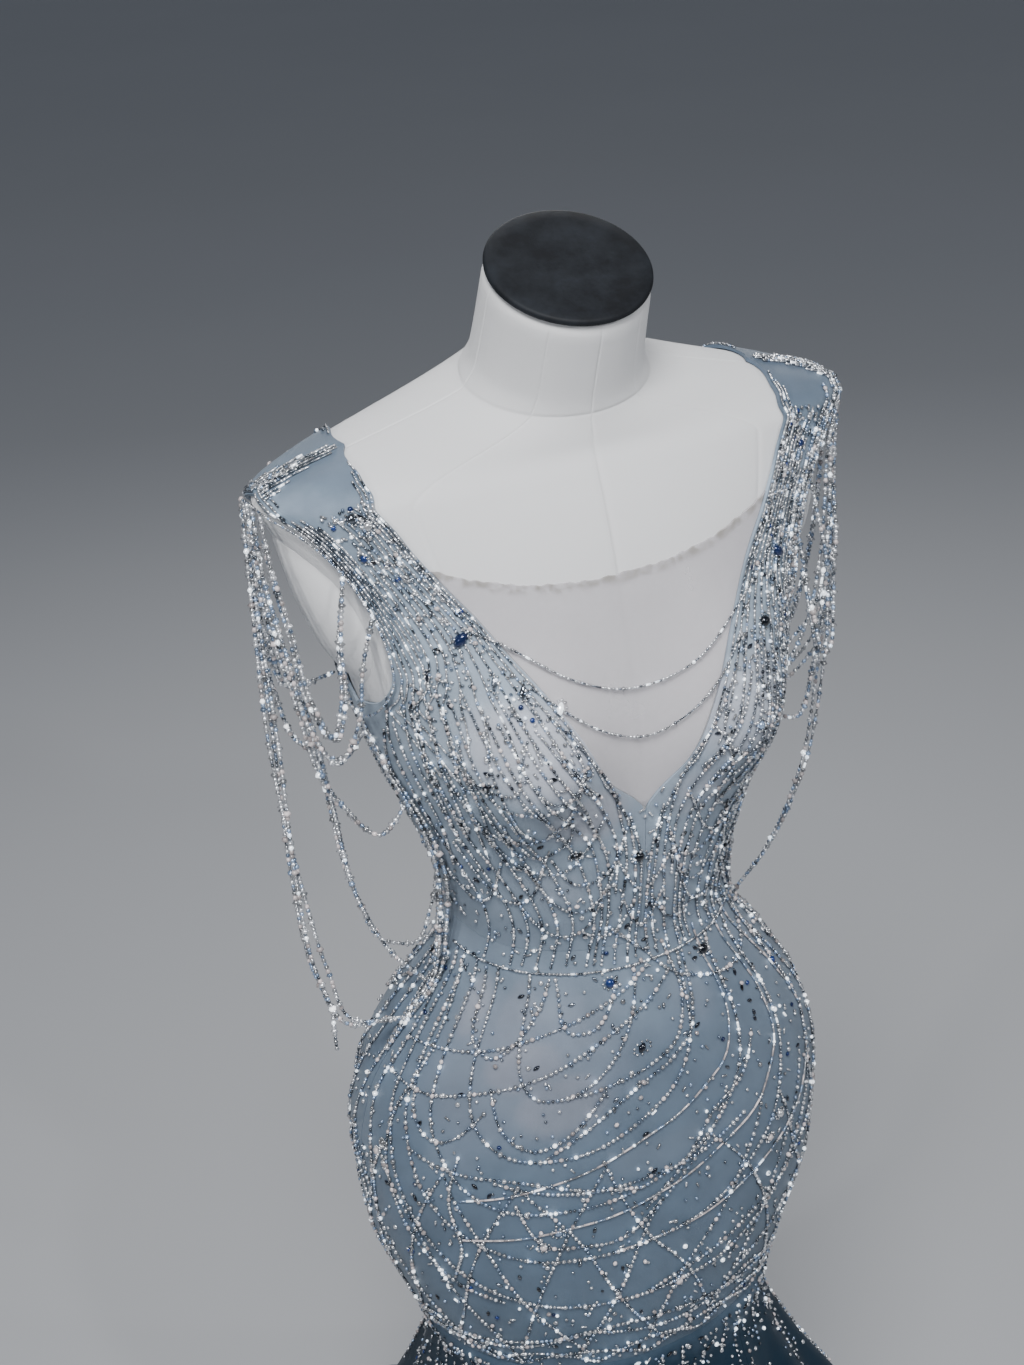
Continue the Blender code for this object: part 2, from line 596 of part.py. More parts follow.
def bodice_half(name, rows, side, back, cloth):
    """One half of the bodice, from the middle seam to the side and armhole."""
    half = np.maximum(rows["half_in"], SEAM / 2)
    start = angle_at(half, rows["level_in"])
    end = rows["angle_out"].copy()
    start[-1] = 90.0
    if back:
        start = 180.0 - start
        end[end == 90.0] += SIDE_GAP
        start[-1] += SIDE_GAP
    else:
        end[end == 90.0] -= SIDE_GAP
        start[-1] -= SIDE_GAP
    across = np.linspace(0, 1, BODICE_COLUMNS)
    angle = start[:, None] + (end - start)[:, None] * across
    levels_in, levels_out = rows["level_in"].copy(), rows["level_out"].copy()
    levels_in[0] = levels_out[0] = WAIST + SEAM / 2
    level = levels_in[:, None] + (levels_out - levels_in)[:, None] * across
    inner = skin(angle, level, CLOTH_IN)
    outer = skin(angle, level, CLOTH_OUT)
    inner[0, :, 2] = outer[0, :, 2] = WAIST + SEAM / 2
    if side < 0:
        inner, outer = mirrored(inner), mirrored(outer)
    shell(name, inner, outer, cloth)


def neckline_net(net):
    """Fine net across the neckline, with a sagging top edge."""
    across = np.linspace(-1, 1, NET_COLUMNS)
    rows = with_halves(FRONT_ROWS, *FRONT_SPLIT)
    inside = (rows["level_in"] > NET_BOTTOM) & (rows["level_in"] < NET_TOP)
    level = np.concatenate([[NET_BOTTOM], rows["level_in"][inside], [NET_TOP]])
    half = np.interp(level, rows["level_in"], rows["half_in"]) - 2 * SEAM
    angle = angle_at(half, level)[:, None] * across
    share = np.clip((level - NET_FLAT) / (NET_TOP - NET_FLAT), 0, 1) ** 1.5
    level = level[:, None] - NET_SAG * share[:, None] * (1 - across**2)
    shell("neckline_net", skin(angle, level, CLOTH_IN),
          skin(angle, level, CLOTH_IN + NET_WALL), net)


# -------------------------------------------------------------------- skirt
def skirt_panel(name, first, last, cloth):
    """A fitted skirt panel between two angles, from the waist to the flare."""
    count = int(round((last - first) / SKIRT_STEP)) + 1
    angle = np.linspace(first + SIDE_GAP, last - SIDE_GAP, count)[None, :]
    level = np.array(SKIRT_LEVELS)[:, None] + 0 * angle
    level[0] = WAIST - SEAM / 2
    bottom = flare_seam(angle) + SEAM / 2
    share = np.clip((SKIRT_TURN - level) / (SKIRT_TURN - SKIRT_LEVELS[-1]), 0, 1)
    level = level + share * (bottom - SKIRT_LEVELS[-1])
    shell(name, skin(angle, level, CLOTH_IN, True), skin(angle, level, CLOTH_OUT, True), cloth)


def flare_gore(name, first, last, cloth):
    """One gore of the flare, from the seam to the hem."""
    down = np.linspace(0, 1, len(FLARE["fold"]))[:, None]
    reach = np.linalg.norm(flare(first, down[:, 0])[:, :2], axis=1)[:, None]
    gap = np.degrees(SEAM / 2 / reach)
    share = np.linspace(0, 1, GORE_COLUMNS)[None, :]
    angle = first + gap + (last - first - 2 * gap) * share
    inner = flare_wall(angle, down, -WALL / 2)
    outer = flare_wall(angle, down, WALL / 2)
    inner[0, :, 2] -= SEAM / 2
    outer[0, :, 2] -= SEAM / 2
    shell(name, inner, outer, cloth)


# ------------------------------------------------------------------- strands
def on_cloth(points, radius, count):
    """A path through (angle, level) points that lies on the cloth."""
    path = curve_through([(a / 100.0, z, 0.0) for a, z in points], count)
    return skin(path[:, 0] * 100.0, path[:, 1], CLOTH_OUT + CHAIN_REST + radius)


def festoon(row, strand_level, radius, count):
    """A strand hung between two places of the waist strand.

    It falls as a cosine to each side of its lowest point; spread widens it.
    """
    s = np.linspace(-1, 1, count)
    side = np.where(s < 0, row["from_angle"], row["to_angle"])
    angle = row["low_angle"] + (side - row["low_angle"]) * np.sin(
        np.abs(s) * np.pi / 2) ** (1 / row["spread"])
    drop = strand_level - row["low_level"]
    level = strand_level - drop * np.cos(np.abs(s) * np.pi / 2)
    return skin(angle, level, CLOTH_OUT + REST + radius)


def festoons(name, ends, rows, beads, count, side=1):
    """A waist strand with the festoons that hang from it."""
    radius = FINE_STRAND
    first, last = ends
    points = np.linspace(first, last, int((last - first) / WAIST_STEP) + 1)
    waist = skin(points, WAIST_STRAND_LEVEL, CLOTH_OUT + REST + radius)
    hung = [festoon({key: rows[key][i] for key in rows}, WAIST_STRAND_LEVEL, radius, count)
            for i in range(len(rows["low_level"]))]
    if side < 0:
        waist, hung = mirrored(waist), [mirrored(path) for path in hung]
    piece = strand(name, waist, radius * WAIST_SWELL, beads, sides=4)
    fuse(piece, name + "_hung", hung, radius, 3, beads)


def shoulder_swags(name, side, swags, beads):
    """Strands round the place of the arm, hung from the armhole's cord."""
    radius = BEAD_STRAND

    def place(points, rest=ARMHOLE_REST):
        angle, level = np.array(points, float).T
        return skin(angle, level, CLOTH_OUT + rest + radius)

    ring = place(ARMHOLE_PATH)
    ring = curve_through(np.vstack([ring, ring[:1]]), RING_POINTS)[:-1]
    tail = np.vstack([place(SIDE_CORD_TOP, CHAIN_REST), SIDE_CORD_FREE,
                      place(SIDE_CORD_FOOT, CHAIN_REST)])
    tail = curve_through(tail, SIDE_POINTS)
    hung = []
    for start, between, end in swags:
        first, last = place([start])[0], place([end])[0]
        hung.append(curve_through(np.vstack([first, between, last]), SWAG_POINTS))
    if side < 0:
        ring, tail, hung = mirrored(ring), mirrored(tail), [mirrored(p) for p in hung]
    bm = bmesh.new()
    add_tube(bm, ring, radius, 4, closed=True)
    piece = finish(name, bm, beads, smooth_angle=60.0)
    fuse(piece, name + "_side", [tail], radius, 4, beads)
    fuse(piece, name + "_hung", hung, radius * 0.9, 3, beads)


# ----------------------------------------------------------------------- zip
def zip_parts(metal):
    """The zip's slider with its pin, and the pull tab that swings on it."""
    face = skin(180.0, ZIP_LEVEL, CLOTH_OUT)[1] + SEAM
    width, depth, height = SLIDER
    pin_y = face + depth + PIN_OUT
    bm = bmesh.new()
    bmesh.ops.create_cube(bm, size=1.0, matrix=Matrix.Translation(
        (0, face + depth / 2, ZIP_LEVEL - height * 0.3)) @ Matrix.Diagonal((*SLIDER, 1)))
    slider = finish("zip_slider", bm, metal)
    bm = bmesh.new()
    thick, reach, tall = CHEEK
    for x in (-1, 1):
        bmesh.ops.create_cube(bm, size=1.0, matrix=Matrix.Translation(
            (x * (width - thick) / 2, face + depth + reach / 2 - 0.0002, ZIP_LEVEL))
            @ Matrix.Diagonal((thick, reach, tall, 1)))
    cheeks = finish("zip_cheeks", bm, metal)
    bm = bmesh.new()
    bmesh.ops.create_cone(bm, cap_ends=True, segments=12, radius1=PIN_RADIUS,
                          radius2=PIN_RADIUS, depth=width - thick,
                          matrix=Matrix.Translation((0, pin_y, ZIP_LEVEL))
                          @ Matrix.Rotation(math.pi / 2, 4, "Y"))
    pin = finish("zip_pin", bm, metal)
    for extra in (cheeks, pin):
        extra.hide_render = True
        extra.display_type = "WIRE"
        union = slider.modifiers.new("unite " + extra.name, "BOOLEAN")
        union.operation = "UNION"
        union.object = extra

    pivot = bpy.data.objects.new("zip_pivot", None)
    pivot.location = (0, pin_y, ZIP_LEVEL)
    bpy.context.scene.collection.objects.link(pivot)
    bm = bmesh.new()
    sides = 12
    turn = np.radians(-90 - 180 / sides + np.arange(sides) * 360 / sides)
    sections = []
    for x, radius in ((-1, EYE_OUTER), (1, EYE_OUTER), (1, EYE_RADIUS), (-1, EYE_RADIUS)):
        sections.append([(x * TAB_WIDTH / 2, radius * math.cos(a), radius * math.sin(a))
                         for a in turn])
    rows = add_grid(bm, sections, True)
    join_edges(bm, rows[-1], rows[0], True)
    foot = [f for f in bm.faces if all(abs(v.co.z + EYE_OUTER * math.cos(math.pi / sides)) < 1e-6
                                       for v in f.verts)]
    tail = bmesh.ops.extrude_face_region(bm, geom=foot)
    bmesh.ops.delete(bm, geom=foot, context="FACES_ONLY")
    moved = [v for v in tail["geom"] if isinstance(v, bmesh.types.BMVert)]
    bmesh.ops.translate(bm, vec=(0, 0, -TAB_LENGTH), verts=moved)
    tab = finish("zip_pull", bm, metal)
    tab.parent = pivot


def build():
    """Make every piece of the dress, the form and the stand."""
    for old in list(bpy.data.objects):
        bpy.data.objects.remove(old)
    canvas = material("form canvas", (0.78, 0.78, 0.77), 0.75)
    cap_paint = material("cap paint", (0.09, 0.10, 0.12), 0.55)
    steel = material("stand steel", (0.62, 0.63, 0.65), 0.35, 0.9)
    cloth = material("beaded net", (0.55, 0.60, 0.68), 0.45)
    deep_cloth = material("flare net", (0.16, 0.27, 0.36), 0.5)
    net = material("fine net", (0.78, 0.74, 0.71), 0.7)
    beads = material("crystal beads", (0.80, 0.84, 0.88), 0.15)
    metal = material("zip metal", (0.55, 0.57, 0.60), 0.3, 1.0)

    form(canvas, cap_paint)
    stand(steel)
    for side, word in ((1, "left"), (-1, "right")):
        bodice_half("bodice_front_" + word, with_halves(FRONT_ROWS, *FRONT_SPLIT),
                    side, False, cloth)
        bodice_half("bodice_back_" + word, with_halves(BACK_ROWS, *BACK_SPLIT),
                    side, True, cloth)
        shoulder_swags("shoulder_swags_" + word, side, SWAGS_LEFT if side > 0 else SWAGS_RIGHT,
                       beads)
        festoons("festoons_back_" + word, BACK_WAIST_STRAND, BACK_FESTOONS, beads,
                 BACK_POINTS, side)
    neckline_net(net)
    skirt_panel("skirt_front", -90.0, 90.0, cloth)
    skirt_panel("skirt_back_left", 90.0, 180.0, cloth)
    skirt_panel("skirt_back_right", 180.0, 270.0, cloth)
    for name, first, last in GORES:
        flare_gore(name, first, last, deep_cloth)
    for name, points in CHEST_CHAINS.items():
        strand(name, on_cloth(points, FINE_STRAND, CHAIN_POINTS), FINE_STRAND, beads, 3)
    festoons("festoons_front", (-WAIST_STRAND_END, WAIST_STRAND_END), FRONT_FESTOONS, beads,
             FRONT_POINTS)
    zip_parts(metal)


build()
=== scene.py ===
"""The looks of a beaded mermaid evening dress, worn by a limbless dress form.

Metres, +Z up, floor at z = 0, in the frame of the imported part.  The dress faces
-Y and the wearer's left is +X.  An angle runs round the figure, 0 at the centre
front and +90 at the wearer's left side, and a level is a height.
"""
import math

import bpy
import numpy as np
from mathutils import Matrix, Vector


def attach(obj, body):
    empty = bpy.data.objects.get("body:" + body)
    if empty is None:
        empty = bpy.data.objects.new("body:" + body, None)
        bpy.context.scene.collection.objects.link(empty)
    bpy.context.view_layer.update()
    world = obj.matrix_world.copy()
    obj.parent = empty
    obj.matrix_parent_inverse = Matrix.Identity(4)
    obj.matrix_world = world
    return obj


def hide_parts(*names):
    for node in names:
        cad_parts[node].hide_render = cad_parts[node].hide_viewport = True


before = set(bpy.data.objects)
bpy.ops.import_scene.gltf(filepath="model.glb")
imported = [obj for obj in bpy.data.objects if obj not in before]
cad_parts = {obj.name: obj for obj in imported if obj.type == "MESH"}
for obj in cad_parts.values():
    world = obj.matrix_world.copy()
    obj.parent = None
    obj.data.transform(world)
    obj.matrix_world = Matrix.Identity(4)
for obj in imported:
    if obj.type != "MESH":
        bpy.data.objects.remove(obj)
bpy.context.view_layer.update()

# ------------------------------------------------------------------- camera
# The photograph looks down at the form from the wearer's right, at arm's length
# above the shoulders.  The lens is a moderate telephoto, and the frame is tall.
PHOTO_HEIGHT = 1365
FOCAL_PIXELS = 2050.0
SENSOR = 36.0            # mm
FAR = 100.0
EYE = (-0.53206, -1.18029, 1.86613)
EYE_TURN, EYE_DOWN, EYE_ROLL = np.radians((22.4555, 27.0703, -4.0920))


def look(turn, down, roll):
    """Right, up and forward of an eye turned to the right, tipped down, then rolled."""
    forward = np.array((math.sin(turn) * math.cos(down), math.cos(turn) * math.cos(down),
                        -math.sin(down)))
    right = np.array((math.cos(turn), -math.sin(turn), 0.0))
    up = np.cross(right, forward)
    return (right * math.cos(roll) + up * math.sin(roll),
            up * math.cos(roll) - right * math.sin(roll), forward)


camera = bpy.data.objects.new("camera", bpy.data.cameras.new("camera"))
camera.data.sensor_width = SENSOR
camera.data.lens = FOCAL_PIXELS * SENSOR / PHOTO_HEIGHT
camera.data.clip_end = FAR
right, up, forward = look(EYE_TURN, EYE_DOWN, EYE_ROLL)
camera.matrix_world = Matrix.Translation(EYE) @ Matrix(
    np.stack([right, up, -forward], 1).tolist()).to_4x4()
bpy.context.scene.collection.objects.link(camera)
bpy.context.scene.camera = camera

# ------------------------------------------------------------ floor and light
# A plain pale studio floor, a large soft key from the front, a fill, a light
# behind, and three small lamps that the facets of the beads pick up.
FLOOR_COLOUR = (0.50, 0.51, 0.53)
FLOOR_HALF = 40.0
AIM = Vector((0.0, 0.0, 1.10))
LAMPS = (                # name, place, width, power
    ("key", (-0.9, -1.6, 3.6), 1.0, 104.0),
    ("fill", (2.6, -1.4, 1.9), 1.8, 5.0),
    ("behind", (0.9, 2.2, 2.6), 1.2, 26.0),
    ("spark_left", (-2.1, -1.2, 2.2), 0.12, 13.0),
    ("spark_high", (0.1, -1.9, 2.7), 0.12, 13.0),
    ("spark_right", (1.5, -1.9, 1.9), 0.12, 7.0))
SKY_COLOUR = (0.80, 0.87, 1.0)
SKY_POWER = 0.17
FLOOR_LEVEL = -0.0004    # just under the hem and the stand
FLOOR_CORNERS = np.array(((-1, -1), (1, -1), (1, 1), (-1, 1))) * FLOOR_HALF


def feed(tree, node, inputs):
    """Links and plain values on a node's inputs."""
    for name, value in dict(inputs).items():
        if isinstance(value, bpy.types.NodeSocket):
            tree.links.new(value, node.inputs[name])
        else:
            node.inputs[name].default_value = value


def put(tree, kind, inputs=(), **settings):
    """A new node in a tree, with its settings and its inputs."""
    node = tree.nodes.new(kind)
    for name, value in settings.items():
        setattr(node, name, value)
    feed(tree, node, inputs)
    return node


def new_material(name, colour, roughness, metallic=0.0):
    """A material with a Principled shader; returns it with its node tree and shader."""
    material = bpy.data.materials.new(name)
    material.use_nodes = True
    tree = material.node_tree
    shader = tree.nodes["Principled BSDF"]
    feed(tree, shader, {"Base Color": (*colour, 1.0), "Roughness": roughness,
                        "Metallic": metallic})
    return material, tree, shader


def object_place(tree):
    """Coordinates of the object."""
    return put(tree, "ShaderNodeTexCoord").outputs["Object"]


def mark(tree, name):
    """Value of a named attribute."""
    return put(tree, "ShaderNodeAttribute", attribute_name=name).outputs["Fac"]


def noise(tree, vector, scale, detail, **more):
    """Value of a noise texture."""
    return put(tree, "ShaderNodeTexNoise", {"Vector": vector, "Scale": scale,
                                            "Detail": detail, **more}).outputs["Fac"]


def worked(tree, operation, *inputs, **settings):
    """Result of one operation on numbers."""
    return put(tree, "ShaderNodeMath", enumerate(inputs), operation=operation,
               **settings).outputs[0]


def scaled(tree, vector, scale):
    """Vector or colour times a number."""
    return put(tree, "ShaderNodeVectorMath", {0: vector, "Scale": scale},
               operation="SCALE").outputs[0]


def mapped(tree, value, to_range, from_range=(0.0, 1.0)):
    """Value carried from one range to another."""
    return put(tree, "ShaderNodeMapRange", {
        "Value": value, "From Min": from_range[0], "From Max": from_range[1],
        "To Min": to_range[0], "To Max": to_range[1]}).outputs["Result"]


def mixed(tree, factor, first, second):
    """Colour between two others."""
    return put(tree, "ShaderNodeMix", {"Factor": factor, "A": first, "B": second},
               data_type="RGBA").outputs["Result"]


def ramp(tree, value, stops, interpolation="LINEAR"):
    """Colour by a value, from (place, colour) stops."""
    node = put(tree, "ShaderNodeValToRGB", {"Fac": value})
    node.color_ramp.interpolation = interpolation
    elements = node.color_ramp.elements
    while len(elements) < len(stops):
        elements.new(0.5)
    for element, (place, colour) in zip(elements, stops):
        element.position = place
        element.color = (*colour, 1.0)
    return node.outputs["Color"]


def mesh_object(name, points, faces):
    """An object from an array of points and an array of faces of equal corners."""
    mesh = bpy.data.meshes.new(name)
    points = np.asarray(points, np.float32).reshape(-1, 3)
    faces = np.asarray(faces, np.int32)
    mesh.vertices.add(len(points))
    mesh.vertices.foreach_set("co", points.ravel())
    mesh.loops.add(faces.size)
    mesh.loops.foreach_set("vertex_index", faces.ravel())
    mesh.polygons.add(len(faces))
    mesh.polygons.foreach_set("loop_start", np.arange(len(faces)) * faces.shape[1])
    mesh.update(calc_edges=True)
    thing = bpy.data.objects.new(name, mesh)
    bpy.context.scene.collection.objects.link(thing)
    return thing


floor = mesh_object("floor", [(x, y, FLOOR_LEVEL) for x, y in FLOOR_CORNERS], [(0, 1, 2, 3)])
floor_paint, tree, shader = new_material("studio floor", FLOOR_COLOUR, 0.6)
feed(tree, shader, {"Base Color": mixed(
    tree, noise(tree, object_place(tree), 0.9, 3.0),
    (*np.multiply(FLOOR_COLOUR, 0.97), 1.0), (*np.multiply(FLOOR_COLOUR, 1.03), 1.0))})
floor.data.materials.append(floor_paint)

for name, place, width, power in LAMPS:
    lamp = bpy.data.objects.new(name, bpy.data.lights.new(name, "AREA"))
    lamp.data.shape, lamp.data.size, lamp.data.energy = "DISK", width, power
    lamp.location = place
    lamp.rotation_euler = (AIM - Vector(place)).to_track_quat("-Z", "Y").to_euler()
    bpy.context.scene.collection.objects.link(lamp)
world = bpy.data.worlds.new("studio air")
world.use_nodes = True
feed(world.node_tree, world.node_tree.nodes["Background"],
     {"Color": (*SKY_COLOUR, 1.0), "Strength": SKY_POWER})
bpy.context.scene.world = world

# ------------------------------------------------------------------ the figure
# The dress and the form are both measured from one figure: a superellipse at
# each level, with two soft cups, and a neck that leans forward.
CLOTH_IN = 0.0006
WALL = 0.0016
CLOTH_OUT = CLOTH_IN + WALL
SEAM = 0.0003
FORM_INSET = 0.0025
WAIST = 1.040
FORM_BOTTOM = 0.720


def table(columns, rows):
    """Columns of a short table as arrays, by name."""
    return dict(zip(columns, np.array(rows, float).T))


FIGURE = table(
    ("level", "half_width", "front", "back", "middle", "lean", "power"), (
        (0.560, 0.124, 0.104, 0.116, 0.012, 0, 2.00),
        (0.620, 0.136, 0.109, 0.122, 0.012, 0, 2.00),
        (0.660, 0.148, 0.113, 0.127, 0.013, 0, 2.05),
        (0.700, 0.162, 0.118, 0.132, 0.014, 0, 2.10),
        (0.780, 0.184, 0.126, 0.138, 0.014, 0, 2.15),
        (0.840, 0.187, 0.128, 0.135, 0.014, 0, 2.20),
        (0.900, 0.175, 0.124, 0.125, 0.012, 0, 2.20),
        (0.950, 0.147, 0.116, 0.109, 0.007, 0, 2.20),
        (0.985, 0.122, 0.106, 0.096, 0.003, 0, 2.15),
        (1.010, 0.108, 0.098, 0.088, 0.000, 0, 2.10),
        (1.040, 0.101, 0.093, 0.083, 0.000, 0, 2.10),
        (1.075, 0.107, 0.097, 0.082, -0.002, 0, 2.10),
        (1.120, 0.122, 0.104, 0.088, -0.002, 0, 2.10),
        (1.170, 0.140, 0.108, 0.097, 0.000, 0, 2.10),
        (1.210, 0.152, 0.106, 0.103, 0.000, 0, 2.15),
        (1.250, 0.160, 0.102, 0.106, 0.000, 0, 2.20),
        (1.290, 0.170, 0.094, 0.106, 0.000, 0, 2.25),
        (1.330, 0.184, 0.085, 0.102, 0.000, 0, 2.20),
        (1.365, 0.204, 0.076, 0.092, 0.002, 1, 2.05),
        (1.385, 0.212, 0.070, 0.084, 0.003, 3, 2.00),
        (1.398, 0.188, 0.066, 0.077, 0.003, 6, 2.00),
        (1.408, 0.154, 0.063, 0.072, 0.002, 9, 2.00),
        (1.418, 0.118, 0.061, 0.067, 0.000, 12, 2.00),
        (1.428, 0.085, 0.059, 0.062, -0.002, 15, 2.00),
        (1.436, 0.066, 0.057, 0.058, -0.004, 17, 2.00),
        (1.452, 0.058, 0.055, 0.055, -0.010, 19, 2.00),
        (1.508, 0.054, 0.054, 0.054, -0.033, 26, 2.00)))
BUST_X, BUST_LEVEL, BUST_HEIGHT, BUST_WIDTH = 0.080, 1.200, 0.034, 0.050
BUST_RISE, BUST_FALL = 0.062, 0.046
FORM_BUST = 0.84


def cubic(at, xs, ys, slope):
    """Cubic in each stretch, with t from 0 to 1 over a span s: (2t^3 - 3t^2 + 1) y0
    + (t^3 - 2t^2 + t) s m0 + (3t^2 - 2t^3) y1 + (t^3 - t^2) s m1."""
    i = np.clip(np.searchsorted(xs, at, side="right") - 1, 0, len(xs) - 2)
    span = xs[i + 1] - xs[i]
    t = (at - xs[i]) / span
    return ((2 * t**3 - 3 * t**2 + 1) * ys[i] + (t**3 - 2 * t**2 + t) * span * slope[i]
            + (3 * t**2 - 2 * t**3) * ys[i + 1] + (t**3 - t**2) * span * slope[i + 1])


def smooth(at, xs, ys):
    """Smooth curve through (xs, ys), whose slope at a point is the harmonic mean of
    the two chords there, so it never overshoots."""
    chord = np.diff(ys) / np.diff(xs)
    left, right = chord[:-1], chord[1:]
    same_way = left * right > 0
    total = np.where(same_way, left + right, 1.0)
    slope = np.concatenate([chord[:1], np.where(same_way, 2 * left * right / total, 0.0),
                            chord[-1:]])
    return cubic(np.clip(at, xs[0], xs[-1]), xs, ys, slope)


def signed_power(value, power):
    """sign(v) |v|^p"""
    return np.sign(value) * np.abs(value) ** power


def bust(x, level, face, size):
    """Height of the cups: exp(-(x -+ cup)^2) exp(-(z - cup level)^2), front only."""
    fall = np.where(level > BUST_LEVEL, BUST_RISE, BUST_FALL)
    across = (np.exp(-((x - BUST_X) / BUST_WIDTH) ** 2)
              + np.exp(-((x + BUST_X) / BUST_WIDTH) ** 2))
    turn = np.clip(1.6 * face, 0.0, 1.0)
    return (size * BUST_HEIGHT * across * np.exp(-((level - BUST_LEVEL) / fall) ** 2)
            * turn**2 * (3 - 2 * turn))


def figure(angle, level, cups=1.0):
    """Point of the figure: x = w sin(a)^(2/p), y = m - d cos(a)^(2/p), tilted at the neck."""
    angle, level = np.broadcast_arrays(np.radians(angle), np.asarray(level, float))
    get = {name: smooth(level, FIGURE["level"], FIGURE[name]) for name in FIGURE}
    facing = np.cos(angle)
    depth = np.where(facing > 0, get["front"], get["back"])
    x = get["half_width"] * signed_power(np.sin(angle), 2 / get["power"])
    ahead = depth * signed_power(facing, 2 / get["power"])
    ahead = ahead + bust(x, level, ahead / depth, cups)
    lean = np.radians(get["lean"])
    return np.stack([x, get["middle"] - ahead * np.cos(lean), level - ahead * np.sin(lean)], -1)


def unit(vectors):
    """Vectors of length one."""
    return vectors / np.linalg.norm(vectors, axis=-1, keepdims=True)


ANGLE_STEP, LEVEL_STEP = 0.1, 0.0005     # apart when a tangent is taken


def outward(angle, level, level_walls=False, cups=1.0):
    """Direction straight out from the figure: the cross product of its two tangents."""
    across = (figure(angle + ANGLE_STEP, level, cups)
              - figure(angle - ANGLE_STEP, level, cups))
    rise = figure(angle, level + LEVEL_STEP, cups) - figure(angle, level - LEVEL_STEP, cups)
    normal = np.cross(across, rise)
    return unit(normal * (1, 1, 0)) if level_walls else unit(normal)


def skin(angle, level, out, level_walls=False, cups=1.0):
    """Point a distance out from the figure."""
    angle, level = np.asarray(angle, float), np.asarray(level, float)
    return figure(angle, level, cups) + np.asarray(out)[..., None] * outward(
        angle, level, level_walls, cups)


def angle_at(half_width, level):
    """Angle on the front of the figure where it is this far from the middle."""
    width = smooth(level, FIGURE["level"], FIGURE["half_width"])
    power = smooth(level, FIGURE["level"], FIGURE["power"])
    return np.degrees(np.arcsin(np.clip(half_width / width, 0, 1) ** (power / 2)))


# --------------------------------------------------------------- form's torso
# The form is a padded shell under tight off-white canvas, sewn down the centre
# front and back, the sides and round the foot of the neck.
SEAM_ANGLES = np.array((0.0, 36.0, 90.0, 144.0, 180.0, 216.0, 270.0, 324.0))
NECK_SEAM = 1.437
GROOVE_DEPTH = 0.0006
GROOVE_WIDTH = 0.0012    # half width of a seam's groove
CANVAS = (0.74, 0.745, 0.75)
CANVAS_INSET = 0.0003    # the cloth lies just clear of the canvas
WEAVE_STRENGTH = 0.6


def grid_faces(rows, columns, closed=False):
    """Quads of a grid whose points are counted row by row."""
    i = np.arange(rows - 1)[:, None]
    j = np.arange(columns if closed else columns - 1)[None, :]
    k = (j + 1) % columns
    return np.stack([i * columns + j, i * columns + k, (i + 1) * columns + k,
                     (i + 1) * columns + j], -1).reshape(-1, 4)


def volume(points, faces):
    """Signed volume: a sixth of the sum of a . (b x c) over the triangles."""
    a = points[faces[:, 0]]
    total = 0.0
    for k in range(1, faces.shape[1] - 1):
        total += (a * np.cross(points[faces[:, k]], points[faces[:, k + 1]])).sum()
    return total / 6


def add_piece(name, points, faces, material, slot, replaced=(), uv=None, marks=None,
              sharp=None):
    """A finished piece on the root body: arrays to a closed mesh, faces outward,
    with its UV in metres, its named attributes, material and CAD nodes; the slot is not
    used.  It is smooth, but for edges over the angle given as sharp, and flat where that is 0."""
    points = np.asarray(points, float).reshape(-1, 3)
    if volume(points, faces) < 0:
        faces = faces[:, ::-1]
    thing = mesh_object(name, points, faces)
    mesh = thing.data
    if uv is not None:
        layer = mesh.uv_layers.new(name="cloth")
        corner = np.asarray(faces, np.int32).ravel()
        layer.data.foreach_set("uv", np.asarray(uv, np.float32).reshape(-1, 2)[corner].ravel())
    for mark, values in (marks or {}).items():
        kept = mesh.attributes.new(mark, "FLOAT", "POINT")
        kept.data.foreach_set("value", np.asarray(values, np.float32).ravel())
    if sharp != 0:
        mesh.shade_smooth()
    if sharp:
        mesh.set_sharp_from_angle(angle=math.radians(sharp))
    mesh.materials.append(material)
    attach(thing, "root")
    if replaced:
        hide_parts(*replaced)
    return thing


def capped(rings):
    """Closed surface over rings of equal count, with a middle point at each end."""
    rows, columns = rings.shape[:2]
    points = np.concatenate([rings.reshape(-1, 3), rings[:1].mean(1), rings[-1:].mean(1)])
    quads = grid_faces(rows, columns, True)
    j = np.arange(columns)
    k = (j + 1) % columns
    low, last = np.full(columns, rows * columns), (rows - 1) * columns
    return points, np.concatenate([
        quads[:, [0, 1, 2]], quads[:, [0, 2, 3]], np.stack([k, j, low], -1),
        np.stack([last + j, last + k, low + 1], -1)])


def add_capped(name, rings, material, slot, node, uv=None, sharp=None):
    """A capped piece that takes a node's place, its UV given for each ring."""
    if uv is not None:
        uv = uv.reshape(-1, 2)
        uv = np.concatenate([uv, uv[:1], uv[-1:]])
    add_piece(name, *capped(rings), material, slot, (node,), uv, sharp=sharp)


# Fine weave: a plain weave's height is the product of two waves across each other.
weave = bpy.data.node_groups.new("plain weave", "ShaderNodeTree")
for name, way, kind in (("Vector", "INPUT", "Vector"), ("Threads per metre", "INPUT", "Float"),
                        ("Height", "OUTPUT", "Float")):
    weave.interface.new_socket(name, in_out=way, socket_type="NodeSocket" + kind)
entry, leave = put(weave, "NodeGroupInput"), put(weave, "NodeGroupOutput")
turns = worked(weave, "MULTIPLY", entry.outputs["Threads per metre"], 2 * math.pi)
parts = put(weave, "ShaderNodeSeparateXYZ", {0: scaled(weave, entry.outputs["Vector"], turns)})
waves = [worked(weave, "SINE", parts.outputs[k]) for k in (0, 1)]
feed(weave, leave, {"Height": worked(weave, "MULTIPLY", *waves)})


